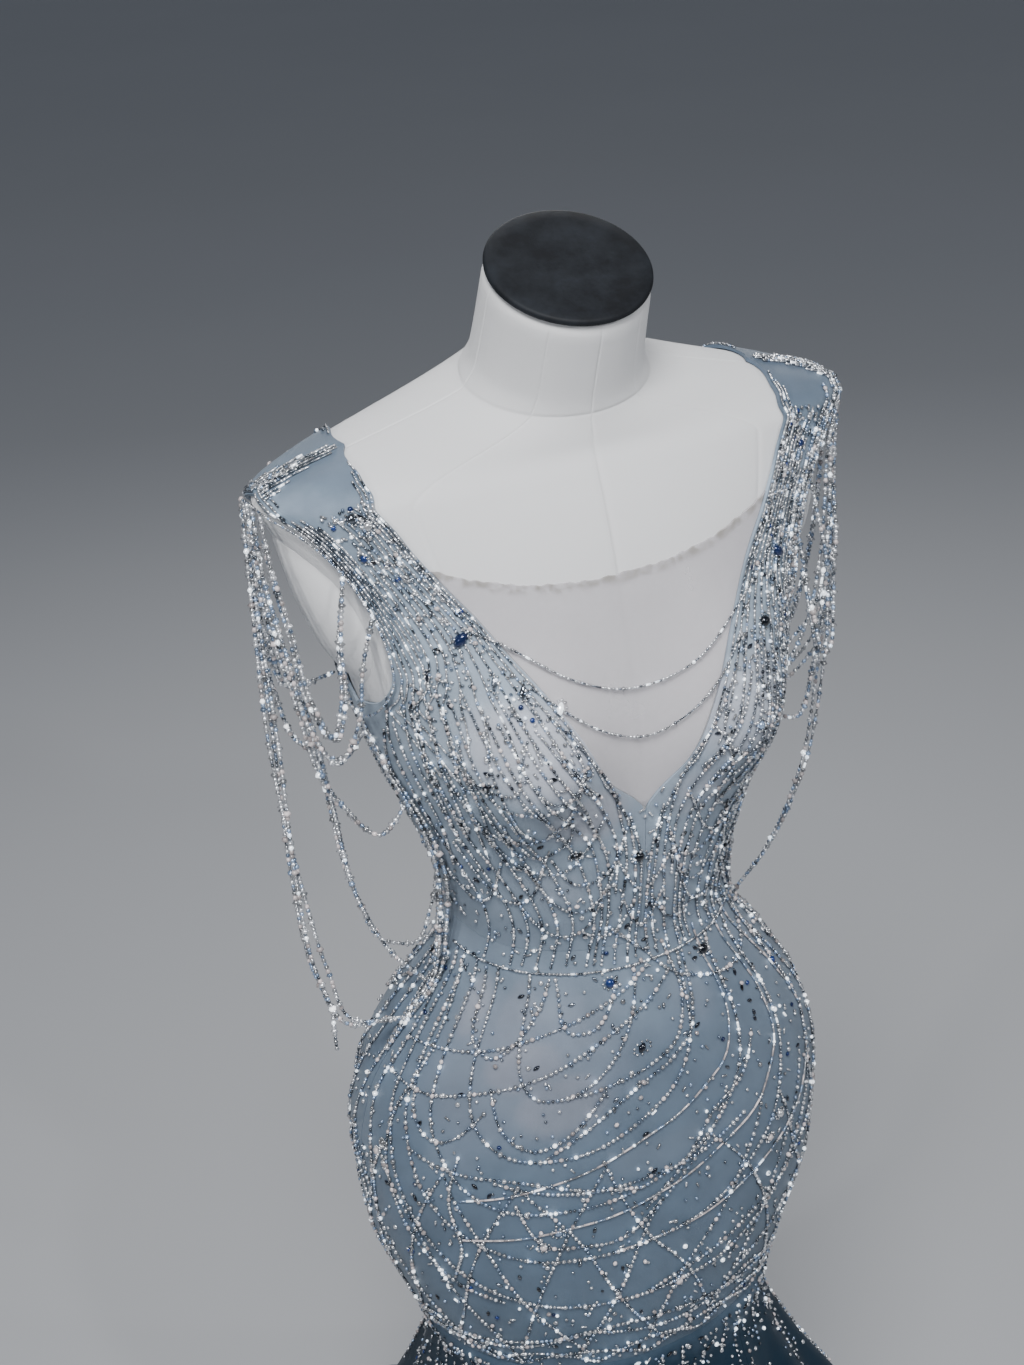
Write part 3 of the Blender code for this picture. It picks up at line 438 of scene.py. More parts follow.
def woven(tree, threads, depth):
    """Normal of the plain weave on the piece's UV in metres."""
    cloth = put(tree, "ShaderNodeGroup", node_tree=weave)
    feed(tree, cloth, {"Vector": put(tree, "ShaderNodeUVMap", uv_map="cloth").outputs["UV"],
                       "Threads per metre": threads})
    return put(tree, "ShaderNodeBump", {"Height": cloth.outputs["Height"], "Distance": depth,
                                        "Strength": WEAVE_STRENGTH}).outputs["Normal"]


def canvas_material():
    """Off-white canvas: a plain weave, faint cloudy soiling and a soft sheen."""
    material, tree, shader = new_material("form canvas", CANVAS, 0.82)
    place = object_place(tree)
    both = worked(tree, "ADD", noise(tree, place, 7.0, 5.0), noise(tree, place, 420.0, 2.0))
    feed(tree, shader, {
        "Base Color": ramp(tree, both, ((0.35, np.multiply(CANVAS, (0.90, 0.90, 0.91))),
                                        (0.75, np.multiply(CANVAS, (1.04, 1.04, 1.05))))),
        "Normal": woven(tree, 1500.0, 0.00010), "Sheen Weight": 0.15})
    return material


def near_seam(away):
    """Share of a groove's depth at a distance from the seam: exp(-(d / w)^2)."""
    return np.exp(-(away / GROOVE_WIDTH) ** 2)


canvas = canvas_material()
NEAR_SEAM = np.array((-1.6, -0.9, -0.45, 0.0, 0.45, 0.9, 1.6))    # degrees to either side
NEAR_NECK_SEAM = NEAR_SEAM * 0.0025 / 1.6
ARC_RADIUS, UV_RADIUS = 0.12, 0.15       # of the torso's sections, roughly
angles = np.unique(np.round(np.concatenate(
    [np.arange(0, 360, 4.0), (SEAM_ANGLES[:, None] + NEAR_SEAM).ravel() % 360]), 3))
levels = np.unique(np.round(np.concatenate(
    [(FORM_BOTTOM, FORM_BOTTOM + 0.003, FORM_BOTTOM + 0.008), np.arange(0.735, 1.36, 0.015),
     np.arange(1.36, 1.470, 0.005), NECK_SEAM + NEAR_NECK_SEAM,
     np.arange(1.475, 1.500, 0.006)]), 5))
turn_to_seam = np.abs((angles[:, None] - SEAM_ANGLES + 180) % 360 - 180).min(1)
away = np.radians(turn_to_seam)[None, :] * ARC_RADIUS
inset = CANVAS_INSET + GROOVE_DEPTH * np.maximum(
    near_seam(away), near_seam(levels - NECK_SEAM)[:, None])
cover = skin(angles[None, :], levels[:, None], -inset, False, FORM_BUST)
cover[0, :, 2] = FORM_BOTTOM
rim = figure(angles, FIGURE["level"][-1])
centre = rim.mean(axis=0)
neck_top = FORM_INSET / FIGURE["half_width"][-1]
foot_middle = cover[0].mean(axis=0)
under = [foot_middle + share * (cover[0] - foot_middle) for share in (0.5, 0.97)]
top = [centre + share * (1 - neck_top) * (rim - centre) for share in (1.0, 0.5)]
rings = np.concatenate([under, cover, top])
run = np.cumsum(np.linalg.norm(np.diff(rings[:, 0], axis=0, prepend=rings[:1, 0]), axis=1))
uv = np.stack(np.broadcast_arrays(np.radians(angles) * UV_RADIUS, run[:, None]), -1)
add_capped("torso_canvas", rings, canvas, "form_canvas", "form_torso", uv)

# ------------------------------------------------------------- form's arm pads
# A padded dome of the same canvas closes each place of an arm.
PLATE_LEVEL, PLATE_HALF_HEIGHT, PLATE_ANGLE, PLATE_THICKNESS = 1.305, 0.059, 23.5, 0.0146
PLATE_SINK = 0.0010      # into the torso's side
UNDER_RINGS = 5
DEGREE_RUN = 0.0035      # metres round the figure's side in one degree
around = np.radians(np.arange(0, 360, 6.0))
dome = np.linspace(1.0, 0.04, 22)
sizes = np.concatenate([np.linspace(0.1, 0.99, UNDER_RINGS), dome])
rise = np.concatenate([np.zeros(UNDER_RINGS), (1 - dome**2.6) ** 1.25])
for side, middle in (("left", 90.0), ("right", 270.0)):
    angle = middle + PLATE_ANGLE * sizes[:, None] * np.cos(around)
    level = PLATE_LEVEL + PLATE_HALF_HEIGHT * sizes[:, None] * np.sin(around)
    rings = skin(angle, level, (rise * PLATE_THICKNESS - PLATE_SINK)[:, None])
    add_capped("arm_pad_" + side, rings, canvas, "form_canvas", "form_arm_plate_" + side,
               np.stack([angle * DEGREE_RUN, level], -1))

# ------------------------------------------------------------- form's neck cap
# A thin wooden disc, painted a dark mottled slate, covers the neck's top.
CAP_DARK = (0.006, 0.007, 0.009)
CAP_LIGHT = (0.015, 0.018, 0.023)
CAP_PROFILE = ((0.5, 0.0003), (0.985, 0.0003), (1.0, 0.0010), (1.004, 0.0022), (0.998, 0.0036),
               (0.985, 0.0045), (0.965, 0.0050), (0.80, 0.0052), (0.40, 0.0053))
around = np.arange(0, 360, 4.0)
lean = math.radians(FIGURE["lean"][-1])
cap_up = np.array((0.0, -math.sin(lean), math.cos(lean)))
cap_rim = figure(around, FIGURE["level"][-1]) - centre
rings = np.array([centre + share * cap_rim + height * cap_up for share, height in CAP_PROFILE])
cap_paint, tree, shader = new_material("slate paint", CAP_DARK, 0.62)
cloud = noise(tree, object_place(tree), 38.0, 8.0, Roughness=0.7)
brush = put(tree, "ShaderNodeBump", {"Height": cloud, "Distance": 0.0004, "Strength": 0.5})
feed(tree, shader, {"Specular IOR Level": 0.22, "Normal": brush.outputs["Normal"],
                    "Base Color": ramp(tree, cloud, ((0.40, CAP_DARK), (0.66, CAP_LIGHT)))})
add_capped("neck_cap", rings, cap_paint, "form_cap", "form_neck_cap", sharp=35)

# ----------------------------------------------------------------------- stand
# A turned steel base, the pole that carries the form, and its clamping collar.
POLE_RADIUS = 0.0145
BASE_RADIUS = 0.150
BASE_HEIGHT = 0.018
COLLAR_RADIUS = 0.032
COLLAR_HEIGHT = 0.014
BEND = 0.004             # of the base's upper edge
EDGE, AXIS = 0.001, 0.006
SOFT_EDGE = 35           # degrees, below which an edge is shaded smooth
steel, tree, shader = new_material("brushed steel", (0.60, 0.61, 0.63), 0.32, 1.0)
radius = put(tree, "ShaderNodeVectorMath", {0: object_place(tree)}, operation="LENGTH")
lathe = put(tree, "ShaderNodeTexNoise", {"W": radius.outputs["Value"], "Scale": 900.0,
                                         "Detail": 2.0}, noise_dimensions="1D")
feed(tree, shader, {"Roughness": mapped(tree, lathe.outputs["Fac"], (0.24, 0.42))})


def turned(profile, segments=96):
    """Rings of revolution about Z over (radius, level) points."""
    turn = np.arange(segments) * 2 * np.pi / segments
    radius, level = np.array(profile).T
    return np.stack([radius[:, None] * np.cos(turn), radius[:, None] * np.sin(turn),
                     level[:, None] + 0 * turn], -1)


def rounded(corner_radius, corner_level, bend, steps=5):
    """Quarter round from the side of a disc to its top."""
    turn = np.linspace(0, np.pi / 2, steps)
    return [(corner_radius - bend + bend * math.cos(t), corner_level - bend + bend * math.sin(t))
            for t in turn]


collar_top = FORM_BOTTOM - SEAM
collar_bottom = collar_top - COLLAR_HEIGHT
pole_foot, pole_top = BASE_HEIGHT + SEAM, collar_bottom - SEAM
STAND = (                # piece, (radius, level) points; each replaces its stand node
    ("base", "_disc", [(0.08, 0.0), (BASE_RADIUS - 0.002, 0.0), (BASE_RADIUS, 0.002)]
     + rounded(BASE_RADIUS, BASE_HEIGHT, BEND) + [(0.060, BASE_HEIGHT), (0.02, BASE_HEIGHT)]),
    ("pole", "", [(AXIS, pole_foot), (POLE_RADIUS, pole_foot), (POLE_RADIUS, pole_top),
                  (AXIS, pole_top)]),
    ("collar", "", [(0.010, collar_bottom), (COLLAR_RADIUS * 0.7, collar_bottom),
                    (COLLAR_RADIUS - EDGE, collar_bottom + COLLAR_HEIGHT * 0.35),
                    (COLLAR_RADIUS, collar_bottom + COLLAR_HEIGHT * 0.45),
                    (COLLAR_RADIUS, collar_top - EDGE), (COLLAR_RADIUS - EDGE, collar_top),
                    (0.010, collar_top)]))
for part, ending, profile in STAND:
    add_capped(part + ending, turned(profile), steel, "stand_steel", "stand_" + part,
               sharp=SOFT_EDGE)

# ---------------------------------------------------------------- bodice cloth
# Ice-blue net over a nude lining, cut as two front and two back halves whose
# straps run over the shoulders.  Where the net is thin the lining shows through.
ROW_NAMES = ("level_in", "half_in", "level_out", "angle_out")
LOWEST_ROWS = (
    (1.040, 0.000, 1.040, 90.0),
    (1.078, 0.000, 1.073, 90.0),
    (1.116, 0.000, 1.109, 90.0),
    (1.152, 0.000, 1.145, 90.0))
FRONT_ROWS = table(ROW_NAMES, LOWEST_ROWS + (
    (1.190, 0.032, 1.178, 90.0),
    (1.225, 0.049, 1.209, 90.0),
    (1.258, 0.067, 1.230, 90.0),
    (1.285, 0.084, 1.243, 74.0),
    (1.308, 0.098, 1.268, 62.5),
    (1.332, 0.115, 1.298, 60.0),
    (1.354, 0.129, 1.326, 61.0),
    (1.374, 0.140, 1.351, 62.5),
    (1.391, 0.147, 1.371, 66.5),
    (1.404, 0.149, 1.384, 74.5),
    (1.410, 0.145, 1.389, 90.0)))
BACK_ROWS = table(ROW_NAMES, LOWEST_ROWS + (
    (1.184, 0.000, 1.178, 90.0),
    (1.212, 0.000, 1.209, 90.0),
    (1.240, 0.020, 1.230, 90.0),
    (1.270, 0.042, 1.246, 103.0),
    (1.300, 0.064, 1.273, 111.0),
    (1.330, 0.086, 1.303, 114.5),
    (1.356, 0.106, 1.332, 115.0),
    (1.379, 0.124, 1.355, 113.0),
    (1.396, 0.138, 1.373, 107.0),
    (1.406, 0.145, 1.385, 98.0),
    (1.410, 0.145, 1.389, 90.0)))
ROW_COUNT = len(FRONT_ROWS["level_in"])
BODICE_GRID = (71, 39)
SIDE_GAP = 0.09          # degrees
BODICE_AREA = {"front": 0.053, "back": 0.057}
BODICE_FLAT = (0.24, 0.42)
# The net's own ombre, pale ice blue at the top to deep teal at the hem, with painted shade:
# darker over the shoulder tops and, in part, over the hips and down the flare.
OMBRE_AND_PAINTED_SHADE = (                # level, colour of the net from the hem up
    (0.00, (0.003, 0.017, 0.033)),
    (0.30, (0.003, 0.019, 0.037)),
    (0.52, (0.004, 0.021, 0.041)),
    (0.625, (0.008, 0.029, 0.054)),
    (0.672, (0.082, 0.128, 0.186)),
    (0.71, (0.098, 0.147, 0.207)),
    (0.80, (0.108, 0.159, 0.224)),
    (0.95, (0.138, 0.188, 0.255)),
    (1.10, (0.238, 0.300, 0.378)),
    (1.24, (0.332, 0.405, 0.490)),
    (1.33, (0.315, 0.392, 0.482)),
    (1.39, (0.130, 0.178, 0.240)),
    (1.45, (0.088, 0.124, 0.175)))
OMBRE_DRIFT = 0.08       # how far clouds shift the ombre up or down
NET_THREADS = 1100.0
SOFTNESS = 0.00026
NUDE = (1.66, 1.37, 1.25)   # how much warmer and lighter the net is over bare lining
NUDE_PATCHES = table(    # where the lining shows: places and half sizes
    ("angle", "level", "half_angle", "half_level", "share"), (
        (-30, 1.222, 20, 0.038, 0.78),
        (-18, 1.165, 14, 0.026, 0.80),
        (28, 1.215, 18, 0.038, 0.72),
        (16, 1.160, 10, 0.024, 0.60),
        (-64, 0.990, 7, 0.026, 0.90),
        (-46, 0.985, 9, 0.034, 0.70),
        (-38, 0.955, 15, 0.024, 1.00),
        (-24, 0.925, 15, 0.030, 1.00),
        (-38, 0.950, 36, 0.066, 0.62),
        (15, 0.985, 9, 0.028, 0.45),
        (-52, 0.880, 10, 0.016, 0.45),
        (2, 0.862, 16, 0.018, 0.45),
        (-30, 1.100, 12, 0.020, 0.45),
        (12, 1.100, 12, 0.022, 0.45),
        (155, 1.190, 14, 0.034, 0.60),
        (205, 1.190, 14, 0.034, 0.60),
        (165, 0.960, 14, 0.030, 0.55),
        (200, 0.950, 14, 0.032, 0.55)))


def nude_share(angle, level):
    """How far the lining shows: soft-edged ellipses, 1 - smooth step of their radius."""
    share = np.zeros(np.broadcast(angle, level).shape)
    for middle, height, half_angle, half_level, most in zip(*NUDE_PATCHES.values()):
        turn = (angle - middle + 180) % 360 - 180
        far = np.sqrt((turn / half_angle) ** 2 + ((level - height) / half_level) ** 2)
        t = np.clip((1.35 - far) / 0.75, 0, 1)
        share = np.maximum(share, most * t * t * (3 - 2 * t))
    return share


def wall(inner, outer):
    """Points and quads of a closed wall between two grids of points."""
    rows, columns = inner.shape[:2]
    index = np.arange(rows * columns).reshape(rows, columns)
    rim = np.concatenate([index[0], index[1:, -1], index[-1, -2::-1], index[-2:0:-1, 0]])
    after = np.roll(rim, -1)
    count = rows * columns
    quads = grid_faces(rows, columns)
    faces = np.concatenate([quads + count, quads[:, ::-1],
                            np.stack([rim, after, after + count, rim + count], -1)])
    return np.concatenate([inner.reshape(-1, 3), outer.reshape(-1, 3)]), faces


def lengths(grid):
    """UV in metres: distance run along the grid's columns and along its middle row."""
    across = np.linalg.norm(np.diff(grid, axis=1), axis=2)
    along = np.linalg.norm(np.diff(grid, axis=0), axis=2)
    u = np.concatenate([np.zeros((len(grid), 1)), np.cumsum(across, axis=1)], axis=1)
    v = np.concatenate([np.zeros((1, grid.shape[1])), np.cumsum(along, axis=0)], axis=0)
    return np.stack([u - u.mean(axis=1, keepdims=True), v], -1)


def net_material(name, shine, gloss):
    """Net over lining: an ombre by level with painted shade in it, the lining's nude where
    it shows, cloudy variation, a fine weave and a soft sheen."""
    material, tree, shader = new_material(name, OMBRE_AND_PAINTED_SHADE[-1][1], 0.50)
    place = object_place(tree)
    level = put(tree, "ShaderNodeSeparateXYZ", {0: place}).outputs["Z"]
    drift = worked(tree, "MULTIPLY_ADD", noise(tree, place, 9.0, 5.0, Roughness=0.6),
                   2 * OMBRE_DRIFT, level)
    highest = OMBRE_AND_PAINTED_SHADE[-1][0]
    blue = ramp(tree, mapped(tree, drift, (0.0, 1.0), (OMBRE_DRIFT, highest + OMBRE_DRIFT)),
                [(height / highest, colour) for height, colour in OMBRE_AND_PAINTED_SHADE])
    nude = mark(tree, "nude")
    ragged = worked(tree, "MULTIPLY_ADD", noise(tree, place, 60.0, 4.0), 0.5, -0.25)
    shown = worked(tree, "ADD", nude, ragged, use_clamp=True)
    kept = worked(tree, "MULTIPLY", shown, nude, use_clamp=True)
    warm = put(tree, "ShaderNodeVectorMath", {0: blue, 1: NUDE}, operation="MULTIPLY")
    shade = mapped(tree, noise(tree, place, 26.0, 6.0), (0.86, 1.12), (0.3, 0.7))
    feed(tree, shader, {
        "Base Color": scaled(tree, mixed(tree, kept, blue, warm.outputs[0]), shade),
        "Normal": woven(tree, NET_THREADS, 0.00014), "Sheen Weight": shine,
        "Specular IOR Level": gloss, "Sheen Roughness": 0.35})
    return material


def cloth_panel(name, node, grids, material, slot, marks, sharp=50, **sheet):
    """A closed wall of cloth between two grids; marks are given for one face."""
    points, faces = wall(*grids)
    marks = {name: np.tile(values, (2, 1)) for name, values in marks.items()}
    add_piece(name, points, faces, material, slot, (node,),
                       np.tile(lengths(grids[1]), (2, 1, 1)), marks, sharp)


net = net_material("ice blue net", 0.12, 0.5)


def bodice_place(rows, side, back, row, share):
    """Angle and level on a bodice half: the row from 0 at the waist to 14 at the shoulder,
    the share from 0 at the middle seam or neckline to 1 at the side seam or armhole."""
    index = np.arange(ROW_COUNT, dtype=float)
    start = angle_at(np.maximum(rows["half_in"], SEAM / 2), rows["level_in"])
    start[-1] = 90.0
    end = rows["angle_out"].copy()
    gap = SIDE_GAP if back else -SIDE_GAP
    if back:
        start = 180.0 - start
    end[end == 90.0] += gap
    start[-1] += gap
    start, end = smooth(row, index, start), smooth(row, index, end)
    level_in = smooth(row, index, rows["level_in"])
    level_out = smooth(row, index, rows["level_out"])
    return side * (start + (end - start) * share), level_in + (level_out - level_in) * share


def over_cloth(angle, level, out=0.0, level_walls=False):
    """Point over the worn net, whose softness adds 0 to about 1.5 mm: three crossing
    sine waves that die out towards the skirt's lower seam."""
    a = np.radians(angle)
    soft = SOFTNESS * (3 + np.sin(9 * a + 40 * level) + np.sin(5 * a - 62 * level + 1.3)
                       + np.sin(17 * a + 21 * level + 0.6))
    soft = soft * np.clip((level - 0.69) / 0.03, 0, 1)
    return skin(angle, level, CLOTH_OUT + soft + out, level_walls)


HALVES = [(word, mirror, back, rows) for word, mirror in (("left", 1), ("right", -1))
          for back, rows in ((False, FRONT_ROWS), (True, BACK_ROWS))]
row = np.linspace(0, ROW_COUNT - 1, BODICE_GRID[0])[:, None]
share = np.linspace(0, 1, BODICE_GRID[1])[None, :]
for word, mirror, back, rows in HALVES:
    face = "back" if back else "front"
    angle, level = bodice_place(rows, mirror, back, row, share)
    inner, outer = skin(angle, level, CLOTH_IN), over_cloth(angle, level)
    inner[0, :, 2] = outer[0, :, 2] = WAIST + SEAM / 2
    cloth_panel("bodice_" + face + "_cloth_" + word, "bodice_" + face + "_" + word,
                (inner, outer), net, "beaded_net", {"nude": nude_share(angle, level)},
                flat=BODICE_FLAT, held="stretched", rests_on=["form_torso"],
                area=BODICE_AREA[face])

# ---------------------------------------------------------------- neckline net
# Sheer nude net fills the neckline; its cut top edge sags between the straps and
# is left raw, a little ragged.
NET_BOTTOM = 1.158
NET_FLAT_LEVEL = 1.190
NET_TOP = 1.343
NET_SAG = 0.023
NET_WALL = 0.0010
NET_COLOUR = (0.70, 0.675, 0.71)
NET_EDGE = (0.40, 0.38, 0.36)
NET_COLUMNS, NET_ROWS, EDGE_ROWS = 121, 35, 6
EDGE_BAND, ROWS_END = 0.003, 0.004       # close rows under the raw edge, and the others
across = np.linspace(-1, 1, NET_COLUMNS)[None, :]
fine_row = np.linspace(0, ROW_COUNT - 1, 400)
index = np.arange(ROW_COUNT, dtype=float)
level = np.concatenate([np.linspace(NET_BOTTOM, NET_TOP - ROWS_END, NET_ROWS),
                        np.linspace(NET_TOP - EDGE_BAND, NET_TOP, EDGE_ROWS)])[:, None]
half = np.interp(level, smooth(fine_row, index, FRONT_ROWS["level_in"]),
                 smooth(fine_row, index, FRONT_ROWS["half_in"])) - 2 * SEAM
angle = angle_at(half, level) * across
rise = np.clip((level - NET_FLAT_LEVEL) / (NET_TOP - NET_FLAT_LEVEL), 0, 1)
ragged = 0.0007 * np.sin(41 * across) * np.sin(23 * across + 1) + 0.0003 * np.sin(97 * across)
level = level - NET_SAG * rise ** 1.5 * (1 - across**2) + ragged * rise ** 40
sheer, tree, shader = new_material("sheer nude net", NET_COLOUR, 0.62)
place = object_place(tree)
patchy = mapped(tree, noise(tree, place, 170.0, 4.0), (0.0, 1.0), (0.40, 0.62))
edge = worked(tree, "MULTIPLY", mark(tree, "edge"), patchy)
solid = worked(tree, "MULTIPLY_ADD", noise(tree, place, 24.0, 5.0), 0.30, 0.22)
feed(tree, shader, {
    "Base Color": mixed(tree, edge, (*NET_COLOUR, 1.0), (*NET_EDGE, 1.0)),
    "Alpha": worked(tree, "MULTIPLY_ADD", edge, 0.35, solid, use_clamp=True),
    "Normal": woven(tree, 1300.0, 0.00010)})
edge_share = np.broadcast_to(np.clip((rise - 0.945) / 0.02, 0, 1), angle.shape)
cloth_panel("neckline_sheer_net", "neckline_net",
            [skin(angle, level, out) for out in (CLOTH_IN, CLOTH_IN + NET_WALL)], sheer,
            "fine_net", {"edge": edge_share}, sharp=None, flat=(0.27, 0.20),
            held="stretched", rests_on=["form_torso"], area=0.0205)

# ----------------------------------------------------------------- fitted skirt
# The same net, fitted over waist and hips down to mid thigh.
FLARE_SEAM_FRONT = 0.655
FLARE_SEAM_BACK = 0.685
SKIRTS = (               # node, first and last angle, flat size
    ("skirt_front", -90.0, 90.0, (0.43, 0.41)),
    ("skirt_back_left", 90.0, 180.0, (0.22, 0.40)),
    ("skirt_back_right", 180.0, 270.0, (0.22, 0.40)))


def flare_seam(angle):
    """Level of the seam between the fitted skirt and the flare."""
    half = (FLARE_SEAM_BACK - FLARE_SEAM_FRONT) / 2
    return FLARE_SEAM_FRONT + half * (1 - np.cos(np.radians(angle)))


SKIRT_ROWS, SKIRT_COLUMN = 84, 1.8       # the latter in degrees
down = np.linspace(0, 1, SKIRT_ROWS)[:, None]
top_level = WAIST - SEAM / 2
for node, first, last, flat in SKIRTS:
    angle = np.linspace(first + SIDE_GAP, last - SIDE_GAP,
                        int((last - first) / SKIRT_COLUMN))[None, :]
    level = top_level + (flare_seam(angle) + SEAM / 2 - top_level) * down
    angle = np.broadcast_to(angle, level.shape)
    cloth_panel(node + "_cloth", node,
                (skin(angle, level, CLOTH_IN, True), over_cloth(angle, level, 0.0, True)),
                net, "beaded_net", {"nude": nude_share(angle, level)}, flat=flat,
                held="stretched", rests_on=["form_torso"])

# ------------------------------------------------------------------------ flare
# Five gores of deep teal net from mid thigh to the floor, in soft flutes, with a
# train that is swept back and over to the wearer's left.
FLARE = table(
    ("level_front", "level_back", "front", "side", "back", "sweep", "fold"), (
        (0.655, 0.685, 0.000, 0.000, 0.000, 0.000, 0.000),
        (0.615, 0.640, 0.112, 0.138, 0.132, 0.000, 0.001),
        (0.565, 0.580, 0.119, 0.147, 0.144, 0.002, 0.004),
        (0.505, 0.515, 0.135, 0.168, 0.168, 0.006, 0.009),
        (0.435, 0.440, 0.160, 0.200, 0.204, 0.013, 0.015),
        (0.355, 0.355, 0.192, 0.240, 0.254, 0.024, 0.022),
        (0.265, 0.260, 0.228, 0.284, 0.322, 0.040, 0.030),
        (0.175, 0.165, 0.264, 0.328, 0.402, 0.060, 0.038),
        (0.095, 0.085, 0.296, 0.366, 0.484, 0.080, 0.044),
        (0.040, 0.032, 0.318, 0.392, 0.536, 0.104, 0.047),
        (0.006, 0.005, 0.332, 0.408, 0.578, 0.118, 0.046)))
FLARE_MIDDLE = 0.013
FLUTES = 15
RIPPLE = 0.10            # small ripples, as a share of a flute's depth
GORES = (                # node, first and last angle, flat width, flat length, cut area
    ("flare_front", -36.0, 36.0, 0.62, 0.70, 0.25),
    ("flare_side_left", 36.0, 108.0, 0.68, 0.76, 0.26),
    ("flare_back_left", 108.0, 180.0, 0.76, 0.90, 0.31),
    ("flare_back_right", 180.0, 252.0, 0.76, 0.90, 0.31),
    ("flare_side_right", 252.0, 324.0, 0.66, 0.74, 0.24))


def flutes(angle):
    """Height of the flutes: half of 1 - cos of a phase that runs unevenly round."""
    a = np.radians(angle)
    phase = FLUTES * a + 0.9 * np.sin(2 * a + 0.7) + 0.6 * np.sin(3 * a + 2.1)
    uneven = 1 + 0.22 * np.sin(2 * a + 0.2) + 0.14 * np.sin(5 * a + 0.4)
    ripple = RIPPLE * (0.5 + 0.5 * np.sin(3 * phase + 1.1))
    return (0.5 - 0.5 * np.cos(phase)) ** 1.15 * uneven + ripple


def flare(angle, down):
    """Middle of the flare's wall: an ellipse at each level that widens to the hem,
    with the flutes' height added; down runs 0 at the seam to 1 at the hem."""
    angle, down = np.broadcast_arrays(np.asarray(angle, float), down)
    a = np.radians(angle)
    steps = np.linspace(0, 1, len(FLARE["fold"]))
    seam = figure(angle, flare_seam(angle)) * (1, 1, 0)
    starts = {"front": FLARE_MIDDLE - figure(0.0, FLARE_SEAM_FRONT)[1],
              "side": figure(90.0, flare_seam(90.0))[0],
              "back": figure(180.0, FLARE_SEAM_BACK)[1] - FLARE_MIDDLE}
    get = {}
    for name in FLARE:
        values = FLARE[name].copy()
        values[0] = starts.get(name, values[0])
        get[name] = smooth(down, steps, values)
    fold = get["fold"] * flutes(angle)
    depth = np.where(np.cos(a) > 0, get["front"], get["back"]) + fold
    half = (get["level_back"] - get["level_front"]) / 2
    level = get["level_front"] + half * (1 - np.cos(a))
    x = (get["side"] + fold) * np.sin(a) + get["sweep"] * (1 - np.cos(a)) / 2
    point = np.stack([x, FLARE_MIDDLE - depth * np.cos(a), level], -1)
    blend = np.clip(1 - down * (len(steps) - 1), 0, 1)[..., None]
    return point + blend * (seam - point * (1, 1, 0))


def flare_wall(angle, down, out):
    """Point out from the middle of the flare's wall, level at the seam."""
    across = flare(angle + 0.1, down) - flare(angle - 0.1, down)
    rise = flare(angle, np.maximum(down - 0.002, 0)) - flare(angle, down + 0.002)
    normal = unit(np.cross(across, rise))
    flat = unit(normal * (1, 1, 0))
    at_seam = (np.asarray(down) < 1e-6)[..., None]
    return (flare(angle, down) + (CLOTH_IN + WALL / 2) * flat
            + np.asarray(out)[..., None] * np.where(at_seam, flat, normal))


deep_net = net_material("deep teal net", 0.02, 0.15)
GORE_GRID = (76, 85)
down = np.linspace(0, 1, GORE_GRID[0])[:, None]
for node, first, last, width, length, area in GORES:
    reach = np.linalg.norm(flare(first, down[:, 0])[:, :2], axis=1)[:, None]
    gap = np.degrees(SEAM / 2 / reach)
    angle = first + gap + (last - first - 2 * gap) * np.linspace(0, 1, GORE_GRID[1])[None, :]
    grids = [flare_wall(angle, down, out) for out in (-WALL / 2, WALL / 2)]
    for grid in grids:
        grid[0, :, 2] -= SEAM / 2
    cloth_panel(node + "_gore", node, grids, deep_net, "flare_net",
                {"nude": np.zeros(angle.shape)}, flat=(width, length), held="hung",
                rests_on=["skirt_front_cloth"], area=area)

# ------------------------------------------------ strands from the shoulders
# Faceted glass beads, threaded end to end, hang in loops round the place of each
# arm; a cord of them follows the armhole and bridges the hollow of the waist.
BEAD_STRAND = 0.0021
ARMHOLE_REST = 0.0022
CHAIN_REST = 0.0004
GLASS = (                # colour and metal share of each kind of glass, by tone
    ((0.94, 0.96, 1.00), 0.72),      # 0 silver-lined crystal
    ((0.50, 0.66, 0.92), 0.65),      # 1 ice blue
    ((0.36, 0.40, 0.46), 0.95),      # 2 smoky grey
    ((0.82, 0.74, 0.74), 0.00),      # 3 pearl
    ((0.02, 0.055, 0.22), 0.40),     # 4 deep blue
    ((0.008, 0.012, 0.025), 0.30))   # 5 midnight
STRAND_KINDS = (         # shape (0 round, 1 bugle), length, width, tone, weight
    (0, 0.0036, 0.0039, 0, 0.50),
    (0, 0.0031, 0.0034, 1, 0.20),
    (0, 0.0028, 0.0029, 2, 0.12),
    (1, 0.0044, 0.0021, 0, 0.10),
    (0, 0.0038, 0.0040, 3, 0.08))
SEED_KINDS = (
    (0, 0.0018, 0.0020, 0, 0.5),
    (0, 0.0018, 0.0020, 1, 0.4),
    (0, 0.0020, 0.0022, 2, 0.1))
PATH_POINTS, RING_POINTS, TAIL_POINTS = 160, 200, 40
BIG_BEAD_EVERY, BIG_BEAD = 0.025, 1.55
COMPANION = 0.0050       # how far a second strand hangs beside the first
TAIL = ((0.2005, 0.006, 0.990), (0.2015, 0.006, 0.968), (0.2012, 0.006, 0.946))
ARMHOLE_PATH = (
    (90.0, 1.386), (74.5, 1.383), (66.5, 1.373), (61.5, 1.354), (59.5, 1.327),
    (58.5, 1.298), (61.0, 1.267), (72.5, 1.240), (90.0, 1.226), (103.5, 1.242),
    (112.0, 1.270), (116.0, 1.302), (116.5, 1.332), (114.5, 1.357), (108.0, 1.372),
    (98.0, 1.383))
SIDE_CORD_TOP = ((90.0, 1.226), (83.0, 1.186), (78.0, 1.150))
SIDE_CORD_FREE = ((0.120, -0.018, 1.095), (0.118, -0.006, 1.045))
SIDE_CORD_FOOT = ((90.0, 0.985), (90.0, 0.960), (90.0, 0.930))
